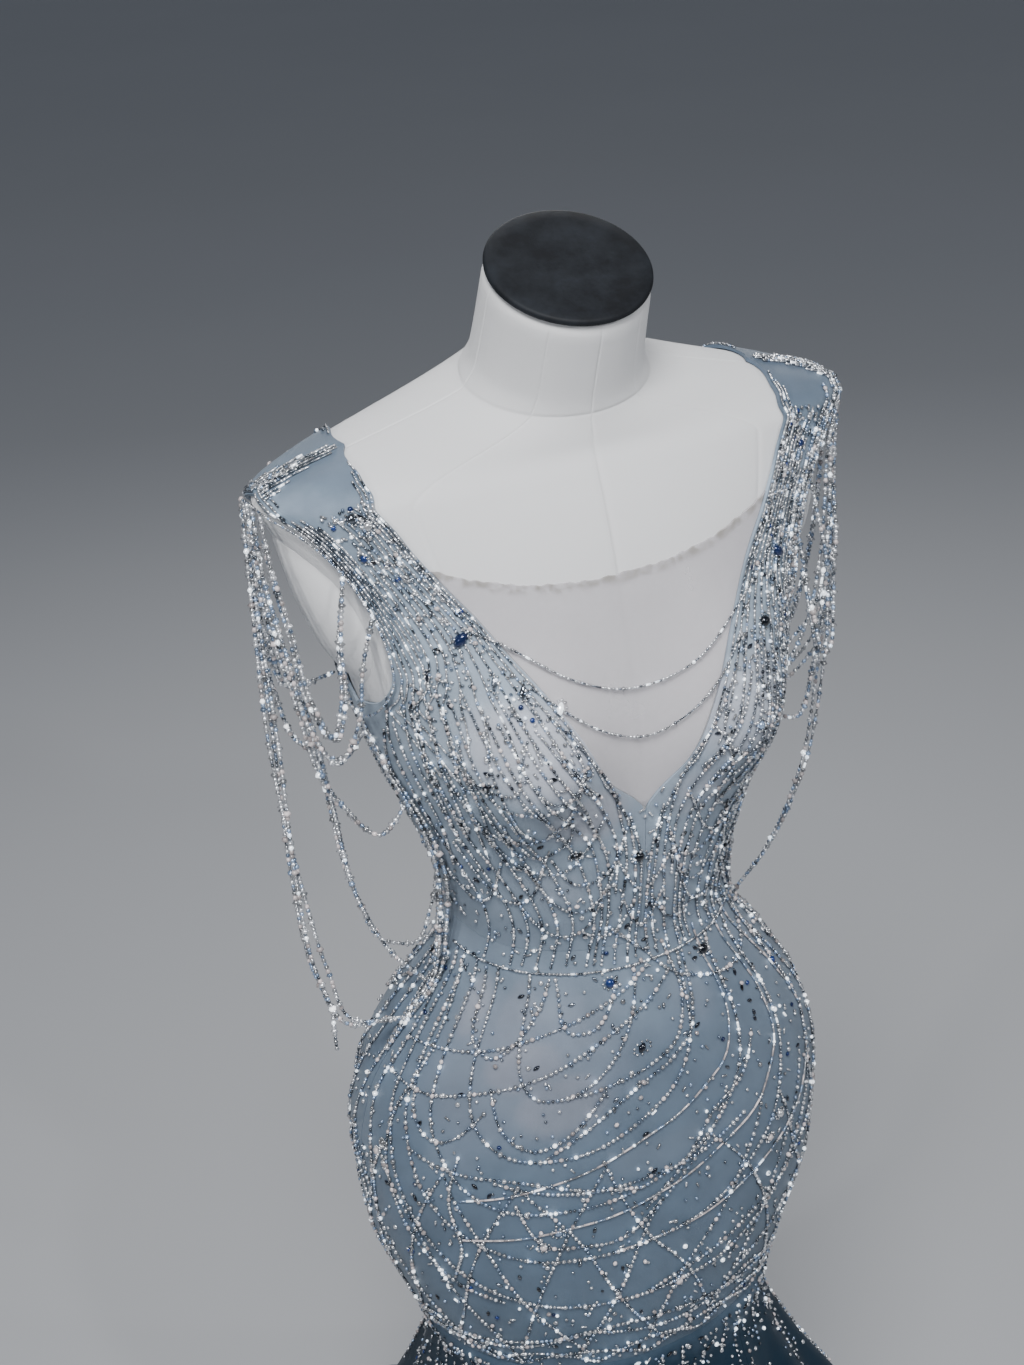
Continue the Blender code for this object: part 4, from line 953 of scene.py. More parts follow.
SWAGS_LEFT = (           # start on the cloth, points of the loop, end on the cloth
    ((78.5, 1.384), ((0.199, -0.022, 1.352), (0.198, -0.030, 1.305), (0.194, -0.038, 1.274),
                     (0.184, -0.047, 1.266), (0.176, -0.052, 1.290)), (60.0, 1.336)),
    ((81.0, 1.385), ((0.204, -0.019, 1.345), (0.199, -0.024, 1.288), (0.192, -0.034, 1.232),
                     (0.184, -0.044, 1.202), (0.171, -0.056, 1.205), (0.160, -0.062, 1.240)),
     (58.5, 1.298)),
    ((87.0, 1.386), ((0.211, -0.008, 1.335), (0.204, -0.010, 1.250), (0.187, -0.020, 1.170),
                     (0.164, -0.036, 1.145)), (79.0, 1.158)),
    ((91.5, 1.386), ((0.214, 0.000, 1.335), (0.215, 0.000, 1.290), (0.214, 0.000, 1.245),
                     (0.205, 0.000, 1.160), (0.187, 0.000, 1.070), (0.158, 0.000, 1.014)),
     (90.0, 0.978)),
    ((95.5, 1.384), ((0.212, 0.010, 1.320), (0.202, 0.014, 1.240), (0.188, 0.018, 1.192),
                     (0.170, 0.018, 1.176)), (86.5, 1.212)),
    ((104.0, 1.377), ((0.200, 0.034, 1.320), (0.193, 0.042, 1.262), (0.184, 0.052, 1.226)),
     (103.5, 1.242)))
SWAGS_RIGHT = (
    ((78.5, 1.384), ((0.213, -0.020, 1.350), (0.209, -0.031, 1.305), (0.206, -0.045, 1.262),
                     (0.196, -0.057, 1.237), (0.188, -0.059, 1.262), (0.184, -0.056, 1.305)),
     (60.5, 1.346)),
    ((82.5, 1.385), ((0.216, -0.014, 1.343), (0.209, -0.024, 1.285), (0.205, -0.038, 1.243),
                     (0.194, -0.056, 1.219), (0.179, -0.062, 1.246), (0.171, -0.060, 1.285)),
     (59.0, 1.315)),
    ((87.0, 1.386), ((0.218, -0.008, 1.330), (0.205, -0.010, 1.250), (0.187, -0.020, 1.170),
                     (0.164, -0.036, 1.145)), (79.0, 1.158)),
    ((91.5, 1.386), ((0.213, 0.000, 1.310), (0.192, 0.000, 1.220), (0.185, 0.000, 1.165),
                     (0.172, 0.000, 1.070), (0.155, 0.000, 1.026)), (90.0, 0.984)),
    ((95.5, 1.384), ((0.219, 0.006, 1.320), (0.218, 0.006, 1.200), (0.218, 0.006, 1.100),
                     (0.209, 0.007, 1.014), (0.192, 0.006, 0.970)), (90.0, 0.956)),
    ((99.0, 1.382), ((0.217, 0.016, 1.320), (0.208, 0.024, 1.240), (0.192, 0.030, 1.192),
                     (0.170, 0.026, 1.176)), (86.5, 1.212)),
    ((106.5, 1.374), ((0.212, 0.034, 1.320), (0.204, 0.046, 1.262), (0.190, 0.058, 1.224)),
     (103.5, 1.242)))
VEIL_LEFT = (            # more strands that fall over the wearer's left armhole
    ((75.5, 1.384), ((0.197, -0.029, 1.350), (0.191, -0.037, 1.310), (0.184, -0.043, 1.270),
                     (0.172, -0.047, 1.235)), (72.0, 1.205)),
    ((83.5, 1.385), ((0.208, -0.014, 1.348), (0.204, -0.021, 1.300), (0.197, -0.026, 1.240),
                     (0.182, -0.032, 1.196)), (76.0, 1.165)),
    ((71.5, 1.380), ((0.190, -0.036, 1.350), (0.183, -0.043, 1.310), (0.175, -0.049, 1.270),
                     (0.163, -0.054, 1.232)), (67.0, 1.190)),
    ((79.5, 1.385), ((0.203, -0.021, 1.350), (0.198, -0.029, 1.300), (0.190, -0.035, 1.250),
                     (0.176, -0.039, 1.210)), (74.0, 1.180)))
VEIL_RIGHT = (           # doubles of the two longest strands at the wearer's right
    ((92.0, 1.386), ((0.214, 0.003, 1.310), (0.194, 0.003, 1.220), (0.187, 0.003, 1.165),
                     (0.175, 0.001, 1.080), (0.158, -0.004, 1.037), (0.139, -0.012, 1.034),
                     (0.126, -0.016, 1.062)), (80.0, 1.105)),
    ((94.0, 1.386), ((0.221, 0.004, 1.320), (0.222, 0.003, 1.200), (0.213, 0.003, 1.100),
                     (0.201, 0.004, 1.020), (0.188, 0.004, 0.974)), (88.0, 0.958)))


def curve_through(points, count):
    """Even points on a smooth curve through a few, with the slope at each that of the
    parabola through its neighbours."""
    points = np.asarray(points, float)
    run = np.concatenate([[0], np.cumsum(np.linalg.norm(np.diff(points, axis=0), axis=1))])
    slope = np.gradient(points, run, axis=0)
    at = np.linspace(0, run[-1], count)
    return np.stack([cubic(at, run, *both) for both in zip(points.T, slope.T)], -1)


def fanned(rings):
    """Closed surface, faces outward, over rings of equal count; a fan from its first
    point closes each end."""
    rows, columns = rings.shape[:2]
    faces = grid_faces(rows, columns, True)
    j = np.arange(1, columns - 1)
    first = np.zeros(columns - 2, int)
    last = first + (rows - 1) * columns
    points, faces = rings.reshape(-1, 3), np.concatenate([
        faces[:, [0, 1, 2]], faces[:, [0, 2, 3]], np.stack([j + 1, j, first], -1),
        np.stack([last + j, last + j + 1, last], -1)])
    return points, faces if volume(points, faces) > 0 else faces[:, ::-1]


def cut_glass(radii, sides=5):
    """Faceted bead, one long and one wide: a polygon of each radius along its hole."""
    turn = np.arange(sides) * 2 * np.pi / sides
    return fanned(np.array([np.stack([
        np.full(sides, x), radius * np.cos(turn), radius * np.sin(turn)], -1)
        for x, radius in radii]))


def flat_back(power, sides=8):
    """Sewn-on stone, one long, wide and high, flat below: a base, a girdle and a table,
    each (cos t, sin t |sin t|^power) in outline."""
    turn = np.arange(sides) * 2 * np.pi / sides
    outline = np.stack([np.cos(turn), np.sin(turn) * np.abs(np.sin(turn)) ** power,
                        np.zeros(sides)], -1) / 2
    return fanned(np.array([outline * scale + (0, 0, height)
                            for scale, height in ((0.86, 0.0), (1.0, 0.42), (0.58, 1.0))]))


CUTS = (                 # round bead, bugle, leaf-shaped stone, round stone
    cut_glass(((-0.46, 0.26), (0.0, 0.5), (0.46, 0.26))),
    cut_glass(((-0.48, 0.46), (0.48, 0.46))),
    flat_back(0.8), flat_back(0.0))


def glass_material():
    """Cut glass: colour and metal lining by the bead's tone, whose fraction within its
    kind also varies brightness and polish; a few beads glow by emission, as painted glints."""
    material, tree, shader = new_material("cut glass beads", GLASS[0][0], 0.16)
    tone = mark(tree, "tone")
    kinds = len(GLASS)
    colour, lining = [ramp(tree, tone, [(k / kinds, value) for k, value in enumerate(values)],
                           "CONSTANT")
                      for values in ([c for c, _ in GLASS], [(m, m, m) for _, m in GLASS])]
    part = worked(tree, "FRACT", worked(tree, "MULTIPLY", tone, float(kinds)))
    feed(tree, shader, {
        "Base Color": scaled(tree, colour, mapped(tree, part, (0.24, 1.10))),
        "Metallic": lining, "Roughness": mapped(tree, part, (0.07, 0.24)),
        # Painted glints: beads whose fraction is over 0.91 glow by emission.
        "Emission Color": ramp(tree, part, ((0.0, (0.0, 0.0, 0.0)), (0.91, (0.85, 0.93, 1.0))),
                               "CONSTANT"),
        "Emission Strength": 1.6, "Coat Weight": 0.6, "Coat Roughness": 0.05})
    return material


glass = glass_material()
draw = np.random.default_rng(2047)


def tones(tone):
    """Each bead's tone and a drawn fraction within it, on a scale of 0 to 1."""
    return (tone + draw.uniform(0.05, 0.95, len(tone))) / len(GLASS)


def strung(path, up, kinds, every=0.0, swell=1.35, gap=0.0):
    """Beads threaded along a path: each draws its kind by weight, its place is the
    running sum of the lengths before it, and a bigger one comes at even distances."""
    shape, length, width, tone, weight = np.array(kinds).T
    run = np.concatenate([[0], np.cumsum(np.linalg.norm(np.diff(path, axis=0), axis=1))])
    pick = draw.choice(len(weight), int(run[-1] / length.min()) + 2, p=weight / weight.sum())
    size = np.stack([length, width, width], -1)[pick] * draw.uniform(0.93, 1.05, (len(pick), 1))
    ends = np.cumsum(size[:, 0] + gap)
    if every:
        big = np.diff(np.floor(ends / every), prepend=0) > 0
        size[big] = size[big] * (1.0, swell, swell)
    keep = ends <= run[-1]
    size, ends, pick = size[keep], ends[keep], pick[keep]

    def at(distance, values):
        return np.stack([np.interp(distance, run, values[:, k]) for k in range(3)], -1)

    start = at(ends - size[:, 0], path)
    end = at(ends, path)
    roll = at(ends, up) + draw.normal(0, 0.25, (len(ends), 3))
    return (shape[pick].astype(int), (start + end) / 2, end - start, roll, size,
            tones(tone[pick]))


def beadwork(name, runs, replaced=()):
    """One piece of many beads: point = centre + x length + y across + z up."""
    shape, centre, along, up, size, tone = [np.concatenate(part) for part in zip(*runs)]
    along = unit(along)
    across = unit(np.cross(up, along))
    axes = np.stack([along, across, np.cross(along, across)], 1)
    points, faces, marks, start = [], [], [], 0
    for kind, (cut, facets) in enumerate(CUTS):
        here = shape == kind
        local = cut[None] * size[here][:, None, :]
        points.append((centre[here][:, None] + np.einsum("npk,nkj->npj", local,
                                                         axes[here])).reshape(-1, 3))
        step = start + len(cut) * np.arange(here.sum())
        faces.append((facets[None] + step[:, None, None]).reshape(-1, 3))
        marks.append(np.repeat(tone[here], len(cut)))
        start += len(points[-1])
    return add_piece(name, np.concatenate(points), np.concatenate(faces), glass, "beads",
                     replaced, marks={"tone": np.concatenate(marks)}, sharp=0)


def on_cloth(knots, out, step=0.002):
    """Smooth path through (angle, level) knots at a height over the cloth, and the
    direction out of the cloth along it.  A hundred degrees count as one metre, and as
    a quarter of one where the path's length sets the number of its points."""
    knots = np.asarray(knots, float) * (0.01, 1.0)
    reach = np.linalg.norm(np.diff(knots * (0.25, 1.0), axis=0), axis=1).sum()
    path = curve_through(knots, max(8, int(reach / step)))
    angle = path[:, 0] * 100.0
    return over_cloth(angle, path[:, 1], out), outward(angle, path[:, 1])


def placed(points, rest):
    """Places of (angle, level) points where a strand rests on the cloth."""
    angle, level = np.array(points, float).T
    return skin(angle, level, np.full(angle.shape, CLOTH_OUT + rest + BEAD_STRAND))


def hung(start, between, end, end_rest=ARMHOLE_REST):
    """Path of a strand from the cloth through free points and back to the cloth."""
    return curve_through(np.vstack([placed([start], ARMHOLE_REST), between,
                                    placed([end], end_rest)]), PATH_POINTS)


ring = placed(ARMHOLE_PATH, ARMHOLE_REST)
ring = curve_through(np.vstack([ring, ring[:1]]), RING_POINTS)
side_cord = curve_through(np.vstack([
    placed(SIDE_CORD_TOP, CHAIN_REST), SIDE_CORD_FREE, placed(SIDE_CORD_FOOT, CHAIN_REST)]),
    PATH_POINTS)
bow = COMPANION * np.sin(np.linspace(0, np.pi, PATH_POINTS))[:, None]
for word, mirror, swags, veil in (("left", 1, SWAGS_LEFT, VEIL_LEFT),
                                  ("right", -1, SWAGS_RIGHT, VEIL_RIGHT)):
    paths = [side_cord] + [hung(*strand) for strand in swags]
    paths += [path + bow * (0.35 * (-1) ** k, -1.0, 0.25) for k, path in enumerate(paths)]
    paths += [side_cord + 2 * bow * (0.2, -1.0, 0.0), side_cord + 3 * bow * (-0.1, -1.0, 0.1)]
    if mirror < 0:
        paths.append(curve_through(TAIL, TAIL_POINTS))
    paths += [hung(*strand, CHAIN_REST) for strand in veil]
    paths = [path * (mirror, 1, 1) for path in [ring] + paths]
    runs = [strung(path, path * (1, 1, 0), STRAND_KINDS if k else SEED_KINDS,
                   BIG_BEAD_EVERY if k else 0.0, BIG_BEAD) for k, path in enumerate(paths)]
    beadwork("shoulder_strands_" + word, runs, ("shoulder_swags_" + word,))

# ------------------------------------------------- chains across the neckline
# Two fine chains of bugles and small beads hang across the neckline net.
BIG_EVERY = 0.030        # metres from one bigger bead to the next
CHAIN_KINDS = (
    (1, 0.0032, 0.0016, 0, 0.22),
    (1, 0.0032, 0.0015, 2, 0.18),
    (0, 0.0025, 0.0027, 0, 0.42),
    (0, 0.0021, 0.0022, 2, 0.18))
CHEST_CHAINS = {
    "chest_chain_upper": ((-36, 1.306), (-27, 1.290), (-15, 1.263), (0, 1.246),
                          (12, 1.253), (24, 1.275), (33, 1.292), (40, 1.308)),
    "chest_chain_lower": ((-25, 1.263), (-17, 1.240), (-8, 1.221), (1, 1.212),
                          (10, 1.221), (19, 1.242), (27, 1.266))}
for node, knots in CHEST_CHAINS.items():
    beadwork(node + "_beads", [strung(*on_cloth(knots, 0.0014), CHAIN_KINDS, BIG_EVERY)],
             (node,))

# ----------------------------------------------------------- festoons of beads
# A strand lies round the waist, and others hang from it in loops on the skirt.
FESTOON_POINTS, WAIST_POINTS = 240, 200
FINE_STRAND = 0.0015
FESTOON_REST, BEAD_REST, LINE_REST, VEIL_REST = 0.0014, 0.0013, 0.0011, 0.0020
FINE_KINDS = (
    (0, 0.0034, 0.0036, 0, 0.36),
    (0, 0.0024, 0.0025, 0, 0.16),
    (0, 0.0029, 0.0030, 1, 0.18),
    (0, 0.0024, 0.0024, 2, 0.18),
    (0, 0.0036, 0.0036, 3, 0.07),
    (1, 0.0040, 0.0018, 0, 0.05))
SEWN_GAP = 0.0007        # thread that shows between two beads
PIPING_KINDS = (         # long satin bugles that read as a smooth pale line
    (1, 0.0080, 0.0017, 3, 0.35),
    (1, 0.0060, 0.0017, 1, 0.25),
    (1, 0.0060, 0.0017, 0, 0.20),
    (0, 0.0026, 0.0028, 0, 0.20))
WAIST_STRAND_LEVEL = 1.022
WAIST_STRAND_END = 86.0
BACK_WAIST_STRAND = (94.0, 174.0)
FRONT_FESTOONS = (       # from angle, to angle, lowest angle, lowest level, spread
    (-44, -4, -27, 0.930, 1.10),
    (-58, 14, -25, 0.880, 1.16),
    (-69, 30, -20, 0.832, 1.20),
    (-77, 46, -12, 0.782, 1.24),
    (-82, 62, -5, 0.728, 1.26))
BACK_FESTOONS = (
    (112, 150, 132, 0.930, 1.10),
    (102, 162, 134, 0.860, 1.14),
    (96, 170, 136, 0.785, 1.16))


def festoon(mirror, first, last, low_angle, low_level, spread):
    """A hung strand: with s from -1 to 1, the level falls as cos(s 90 deg) and the
    angle runs out from its lowest point as sin(|s| 90 deg)^(1 / spread)."""
    s = np.linspace(-1, 1, FESTOON_POINTS)
    side = np.where(s < 0, first, last)
    part = np.sin(np.abs(s) * np.pi / 2) ** (1 / spread)
    angle = mirror * (low_angle + (side - low_angle) * part)
    level = WAIST_STRAND_LEVEL - (WAIST_STRAND_LEVEL - low_level) * np.cos(
        np.abs(s) * np.pi / 2)
    return over_cloth(angle, level, FINE_STRAND), outward(angle, level)


for node, ends, festoons, mirror in (
        ("festoons_front", (-WAIST_STRAND_END, WAIST_STRAND_END), FRONT_FESTOONS, 1),
        ("festoons_back_left", BACK_WAIST_STRAND, BACK_FESTOONS, 1),
        ("festoons_back_right", BACK_WAIST_STRAND, BACK_FESTOONS, -1)):
    angle = mirror * np.linspace(*ends, WAIST_POINTS)
    level = np.full(angle.shape, WAIST_STRAND_LEVEL)
    runs = [strung(over_cloth(angle, level, FINE_STRAND), outward(angle, level), CHAIN_KINDS)]
    runs += [strung(*festoon(mirror, *hanging), FINE_KINDS, BIG_EVERY, gap=SEWN_GAP)
             for hanging in festoons]
    beadwork(node + "_beads", runs, (node,))

# --------------------------------------------------------- beads on the bodice
# Rows of bugles follow the straps, fan out over the bust and meet under the
# neckline's point; loops of beads and stones are sewn between them.
SEWN_KINDS = (
    (0, 0.0026, 0.0029, 0, 0.44),
    (0, 0.0023, 0.0025, 2, 0.24),
    (0, 0.0024, 0.0026, 1, 0.13),
    (1, 0.0040, 0.0019, 0, 0.06),
    (1, 0.0040, 0.0018, 2, 0.05),
    (0, 0.0029, 0.0031, 3, 0.05),
    (0, 0.0028, 0.0028, 5, 0.03))
BUGLE_KINDS = (          # the close rows along the straps
    (1, 0.0042, 0.0017, 0, 0.52),
    (1, 0.0042, 0.0017, 2, 0.16),
    (0, 0.0022, 0.0024, 0, 0.22),
    (0, 0.0022, 0.0024, 1, 0.10))
STRAP_LINES = (          # (row, share) knots from the shoulder down, on each side
    ((13.4, 0.015), (11, 0.018), (8, 0.015), (6, 0.015), (3.6, 0.018)),
    ((13.1, 0.045), (11, 0.055), (8, 0.045), (6, 0.045), (4.2, 0.06)),
    ((12.8, 0.08), (11, 0.10), (8, 0.08), (6, 0.08), (4.6, 0.11)),
    ((12.1, 0.13), (10, 0.16), (8, 0.13), (6, 0.13), (4.8, 0.18)),
    ((11.9, 0.19), (10, 0.22), (8, 0.18), (6, 0.19), (4.8, 0.25)),
    ((11.5, 0.26), (10, 0.28), (8, 0.24), (6, 0.25), (5.0, 0.33)),
    ((11.7, 0.33), (10, 0.34), (8, 0.30), (6, 0.32), (5.0, 0.41)),
    ((11.9, 0.41), (10, 0.41), (8, 0.37), (6, 0.40), (4.6, 0.49)),
    ((11.2, 0.49), (9.5, 0.48), (8, 0.44), (6, 0.48), (4.4, 0.57)),
    ((10.4, 0.56), (9.0, 0.55), (7.5, 0.52), (6, 0.56), (4.2, 0.64)),
    ((13.96, 0.06), (13.96, 0.40), (13.96, 0.70), (13.96, 0.96)),
    ((13.86, 0.10), (13.86, 0.40), (13.86, 0.70), (13.86, 0.96)),
    ((13.74, 0.30), (13.74, 0.50), (13.74, 0.70), (13.74, 0.96)),
    ((13.60, 0.52), (13.58, 0.70), (13.6, 0.95)),
    ((13.46, 0.66), (13.44, 0.80), (13.46, 0.95)),
    ((13.9, 0.975), (13.2, 0.96), (12.6, 0.95), (11.8, 0.955)),
    ((13.9, 0.91), (13.2, 0.89), (12.5, 0.885)),
    ((13.9, 0.84), (13.3, 0.82), (12.8, 0.81)))
OUTER_LINES = (          # rows that leave the armhole's edge and cross to the bust
    ((12.6, 0.955), (11, 0.95), (9.5, 0.94), (8.3, 0.89), (7, 0.76), (5.6, 0.63), (4.4, 0.55)),
    ((12.3, 0.90), (11, 0.895), (9.5, 0.88), (8.2, 0.82), (7, 0.69), (5.6, 0.57), (4.3, 0.49)),
    ((12.5, 0.84), (11, 0.835), (9.5, 0.82), (8.2, 0.75), (7, 0.63), (5.6, 0.52), (4.4, 0.44)),
    ((12.2, 0.78), (11, 0.775), (9.5, 0.76), (8.2, 0.68), (7, 0.57), (5.6, 0.47)),
    ((12.4, 0.72), (11, 0.715), (9.5, 0.70), (8.2, 0.62), (7, 0.52)),
    ((12.0, 0.66), (11, 0.655), (9.5, 0.64), (8.2, 0.57)))
VEIL_LINES = (           # heavier strands, on the wearer's left alone
    ((12.9, 0.62), (11, 0.64), (9, 0.66), (7, 0.74), (5, 0.84)),
    ((12.4, 0.76), (11, 0.78), (9, 0.80), (7, 0.84), (5, 0.90)),
    ((13.0, 0.90), (11, 0.92), (9, 0.93), (7, 0.94), (5, 0.96)))
BODICE_LINES = (         # (angle, level) knots on the wearer's left; mirrored too
    ((13.5, 1.192), (8.5, 1.170), (4.5, 1.143), (3, 1.090), (6, 1.024)),
    ((24, 1.250), (17, 1.215), (9, 1.170), (6, 1.120), (8, 1.075), (11, 1.024)),
    ((32, 1.255), (27, 1.215), (18, 1.165), (12, 1.115), (13, 1.070), (16, 1.024)),
    ((39, 1.258), (37, 1.215), (29, 1.165), (20, 1.110), (18, 1.070), (22, 1.024)),
    ((46, 1.262), (46, 1.215), (40, 1.165), (30, 1.112), (26, 1.070), (30, 1.024)),
    ((53, 1.265), (55, 1.215), (51, 1.165), (43, 1.112), (38, 1.065), (42, 1.024)),
    ((60, 1.262), (64, 1.215), (62, 1.165), (55, 1.110), (50, 1.065), (53, 1.024)),
    ((67, 1.255), (73, 1.210), (72, 1.160), (66, 1.110), (62, 1.065), (66, 1.024)),
    ((20, 1.200), (28, 1.160), (40, 1.150), (51, 1.168), (57, 1.205)),
    ((12, 1.165), (21, 1.126), (33, 1.116), (45, 1.136), (52, 1.172)),
    ((30, 1.140), (38, 1.098), (47, 1.085), (57, 1.100), (64, 1.140)),
    ((7, 1.130), (15, 1.090), (24, 1.078), (33, 1.092), (40, 1.125)),
    ((34, 1.225), (36, 1.205), (42, 1.197), (48, 1.206), (50, 1.226)),
    ((54, 1.240), (56, 1.200), (55, 1.150)),
    ((60, 1.235), (61, 1.195), (60, 1.130)),
    ((74, 1.225), (79, 1.185), (78, 1.140), (74, 1.095)),
    ((28, 1.240), (22, 1.205), (14, 1.170), (9, 1.130), (10, 1.090)),
    ((36, 1.245), (33, 1.205), (24, 1.165), (16, 1.125), (15, 1.080), (19, 1.024)),
    ((50, 1.250), (50, 1.205), (45, 1.160), (36, 1.110), (32, 1.065), (36, 1.024)),
    ((57, 1.250), (60, 1.200), (57, 1.155), (49, 1.108), (44, 1.062), (48, 1.024)),
    ((16, 1.215), (24, 1.190), (34, 1.182), (44, 1.190), (50, 1.212)),
    ((24, 1.180), (23, 1.155), (28, 1.138), (36, 1.134), (42, 1.146), (43, 1.170)),
    ((5, 1.150), (10, 1.118), (18, 1.104), (26, 1.110), (30, 1.130)),
    ((12, 1.100), (20, 1.066), (30, 1.056), (40, 1.066), (48, 1.094)),
    ((46, 1.130), (55, 1.092), (66, 1.080), (76, 1.100)),
    ((40, 1.240), (42, 1.205), (40, 1.175), (33, 1.150)),
    ((20, 1.235), (19, 1.210), (24, 1.192), (31, 1.196), (34, 1.214), (30, 1.236)),
    ((68, 1.235), (68, 1.195), (66, 1.150), (69, 1.110)),
    ((3, 1.080), (9, 1.058), (17, 1.052), (24, 1.062)),
    ((48, 1.235), (49, 1.190), (47, 1.140)),
    ((51, 1.230), (52, 1.180), (51, 1.125)),
    ((5, 1.158), (1.6, 1.120), (1.3, 1.070), (2.6, 1.024)),
    ((9, 1.120), (4, 1.096), (0.4, 1.086)),
    ((8, 1.088), (3.5, 1.064), (0.4, 1.056)),
    ((27, 1.262), (25, 1.236), (21, 1.206), (14, 1.180)),
    ((34, 1.264), (32, 1.234), (28, 1.202), (20, 1.170), (14, 1.142)),
    ((42, 1.266), (41, 1.234), (38, 1.202), (31, 1.172), (23, 1.140)),
    ((49, 1.268), (50, 1.238), (48, 1.200), (43, 1.162), (36, 1.134)),
    ((56, 1.268), (59, 1.232), (59, 1.190), (56, 1.150)))


STRAP_POINTS = 120


def sewn_strap(knots, side, back, out):
    """Smooth path through (row, share) knots of a bodice half, over the cloth; ten rows
    count as much as the whole share."""
    path = curve_through(np.array(knots, float) * (0.1, 1.0), STRAP_POINTS)
    angle, level = bodice_place(BACK_ROWS if back else FRONT_ROWS, side, back,
                                10 * path[:, 0], path[:, 1])
    return over_cloth(angle, level, out), outward(angle, level)


for word, mirror in (("left", 1), ("right", -1)):
    runs = [strung(*sewn_strap(knots, mirror, False, LINE_REST), BUGLE_KINDS)
            for knots in STRAP_LINES + OUTER_LINES]
    if mirror > 0:
        runs += [strung(*sewn_strap(knots, mirror, False, VEIL_REST), FINE_KINDS, 0.025)
                 for knots in VEIL_LINES]
    beadwork("strap_beads_" + word, runs)
    beadwork("bodice_beads_" + word, [
        strung(*on_cloth(np.array(knots) * (mirror, 1), BEAD_REST), SEWN_KINDS, gap=SEWN_GAP)
        for knots in BODICE_LINES])
    runs = [strung(*sewn_strap(knots, mirror, True, LINE_REST), BUGLE_KINDS)
            for knots in STRAP_LINES]
    runs += [strung(*on_cloth(np.array(knots) * (-mirror, 1) + (180, 0), BEAD_REST),
                    SEWN_KINDS, gap=SEWN_GAP) for knots in BODICE_LINES[2:]]
    beadwork("bodice_back_beads_" + word, runs)

# ----------------------------------------------------------- beads on the skirt
# More strands are sewn over waist and hips: doubles of the festoons, drapes from
# side to side, a lattice below them, and a level row where the net grows thin.
SKIRT_LINES = (          # (angle, level) knots
    ((-13, 1.062), (1, 1.030), (8, 1.012), (20, 0.995), (35, 0.985), (52, 0.990), (66, 1.010)),
    ((-85, 0.950), (-72, 0.955), (-50, 0.965), (-38, 0.975), (-22, 0.990), (-8, 1.006),
     (2, 1.021)),
    ((-84, 0.925), (-66, 0.925), (-48, 0.935), (-30, 0.950), (-14, 0.972), (-2, 0.990),
     (9, 1.010)),
    ((30, 0.930), (22, 0.900), (12, 0.880), (5, 0.850), (-4, 0.815)),
    ((-50, 0.885), (-52, 0.845), (-50, 0.800), (-54, 0.765)),
    ((16, 1.035), (16, 1.000), (13, 0.970), (5, 0.945), (-3, 0.930), (-15, 0.905),
     (-27, 0.881)),
    ((8, 1.035), (12, 0.995), (8, 0.965), (0, 0.945), (-12, 0.934), (-26, 0.930)),
    ((24, 1.035), (27, 0.985), (22, 0.940), (10, 0.905), (-4, 0.880), (-20, 0.862),
     (-36, 0.852), (-51, 0.846)),
    ((37, 1.035), (42, 0.980), (40, 0.930), (30, 0.880), (12, 0.845), (-6, 0.822),
     (-24, 0.814), (-51, 0.808)),
    ((48, 1.030), (57, 0.965), (58, 0.905), (48, 0.850), (30, 0.812), (8, 0.788), (-12, 0.782)),
    ((56, 1.030), (66, 0.960), (68, 0.890), (60, 0.832), (42, 0.785), (20, 0.755), (-4, 0.729)),
    ((66, 1.030), (78, 0.960), (80, 0.885), (73, 0.820), (58, 0.770), (38, 0.728), (22, 0.706)),
    ((88, 1.010), (90, 0.940), (87, 0.870), (84, 0.810), (74, 0.750), (60, 0.712)),
    ((-88, 1.015), (-84, 0.960), (-86, 0.900), (-82, 0.840), (-84, 0.780), (-86, 0.720)),
    ((-92, 0.990), (-91, 0.930), (-95, 0.870), (-90, 0.800), (-93, 0.740), (-92, 0.700)),
    ((-78, 1.015), (-72, 0.950), (-76, 0.880), (-70, 0.820), (-58, 0.772), (-40, 0.740)),
    ((-66, 0.880), (-50, 0.870), (-34, 0.865), (-18, 0.850), (-4, 0.838)),
    ((-40, 0.865), (-24, 0.850), (-8, 0.845), (8, 0.850), (22, 0.868)),
    ((-34, 0.845), (-30, 0.812), (-18, 0.795), (-6, 0.800), (0, 0.822)),
    ((92, 0.960), (98, 0.900), (94, 0.830), (97, 0.760), (94, 0.705)),
    ((172, 1.035), (160, 0.990), (150, 0.960), (134, 0.945), (118, 0.950), (104, 0.975)),
    ((176, 1.035), (177, 0.960), (173, 0.890), (165, 0.830), (152, 0.790)),
    ((188, 1.035), (200, 0.990), (210, 0.960), (226, 0.945), (242, 0.950), (256, 0.975)),
    ((184, 1.035), (183, 0.960), (187, 0.890), (195, 0.830), (208, 0.790)),
    ((-64, 1.020), (-62, 0.985), (-54, 0.962), (-44, 0.968), (-38, 1.000), (-36, 1.020)),
    ((-34, 1.020), (-30, 0.990), (-22, 0.978), (-14, 0.990), (-10, 1.020)),
    ((-46, 0.940), (-38, 0.905), (-30, 0.890), (-20, 0.902), (-12, 0.932)),
    ((-74, 0.940), (-66, 0.905), (-58, 0.893), (-50, 0.903), (-44, 0.925)))
PIPED = (7, 8, 9)        # the lines of satin bugles
LATTICE_STEP = 21.0      # degrees from one line to the next of the same slope
LATTICE_TURNS = np.array((0.0, 12.0, 21.0, 33.0))
LATTICE_FALL = np.linspace(0.868, 0.668, 4)
LEVEL_ROW = 0.700
SEAM_CLEAR = 0.005       # of the lowest beads over the flare's seam

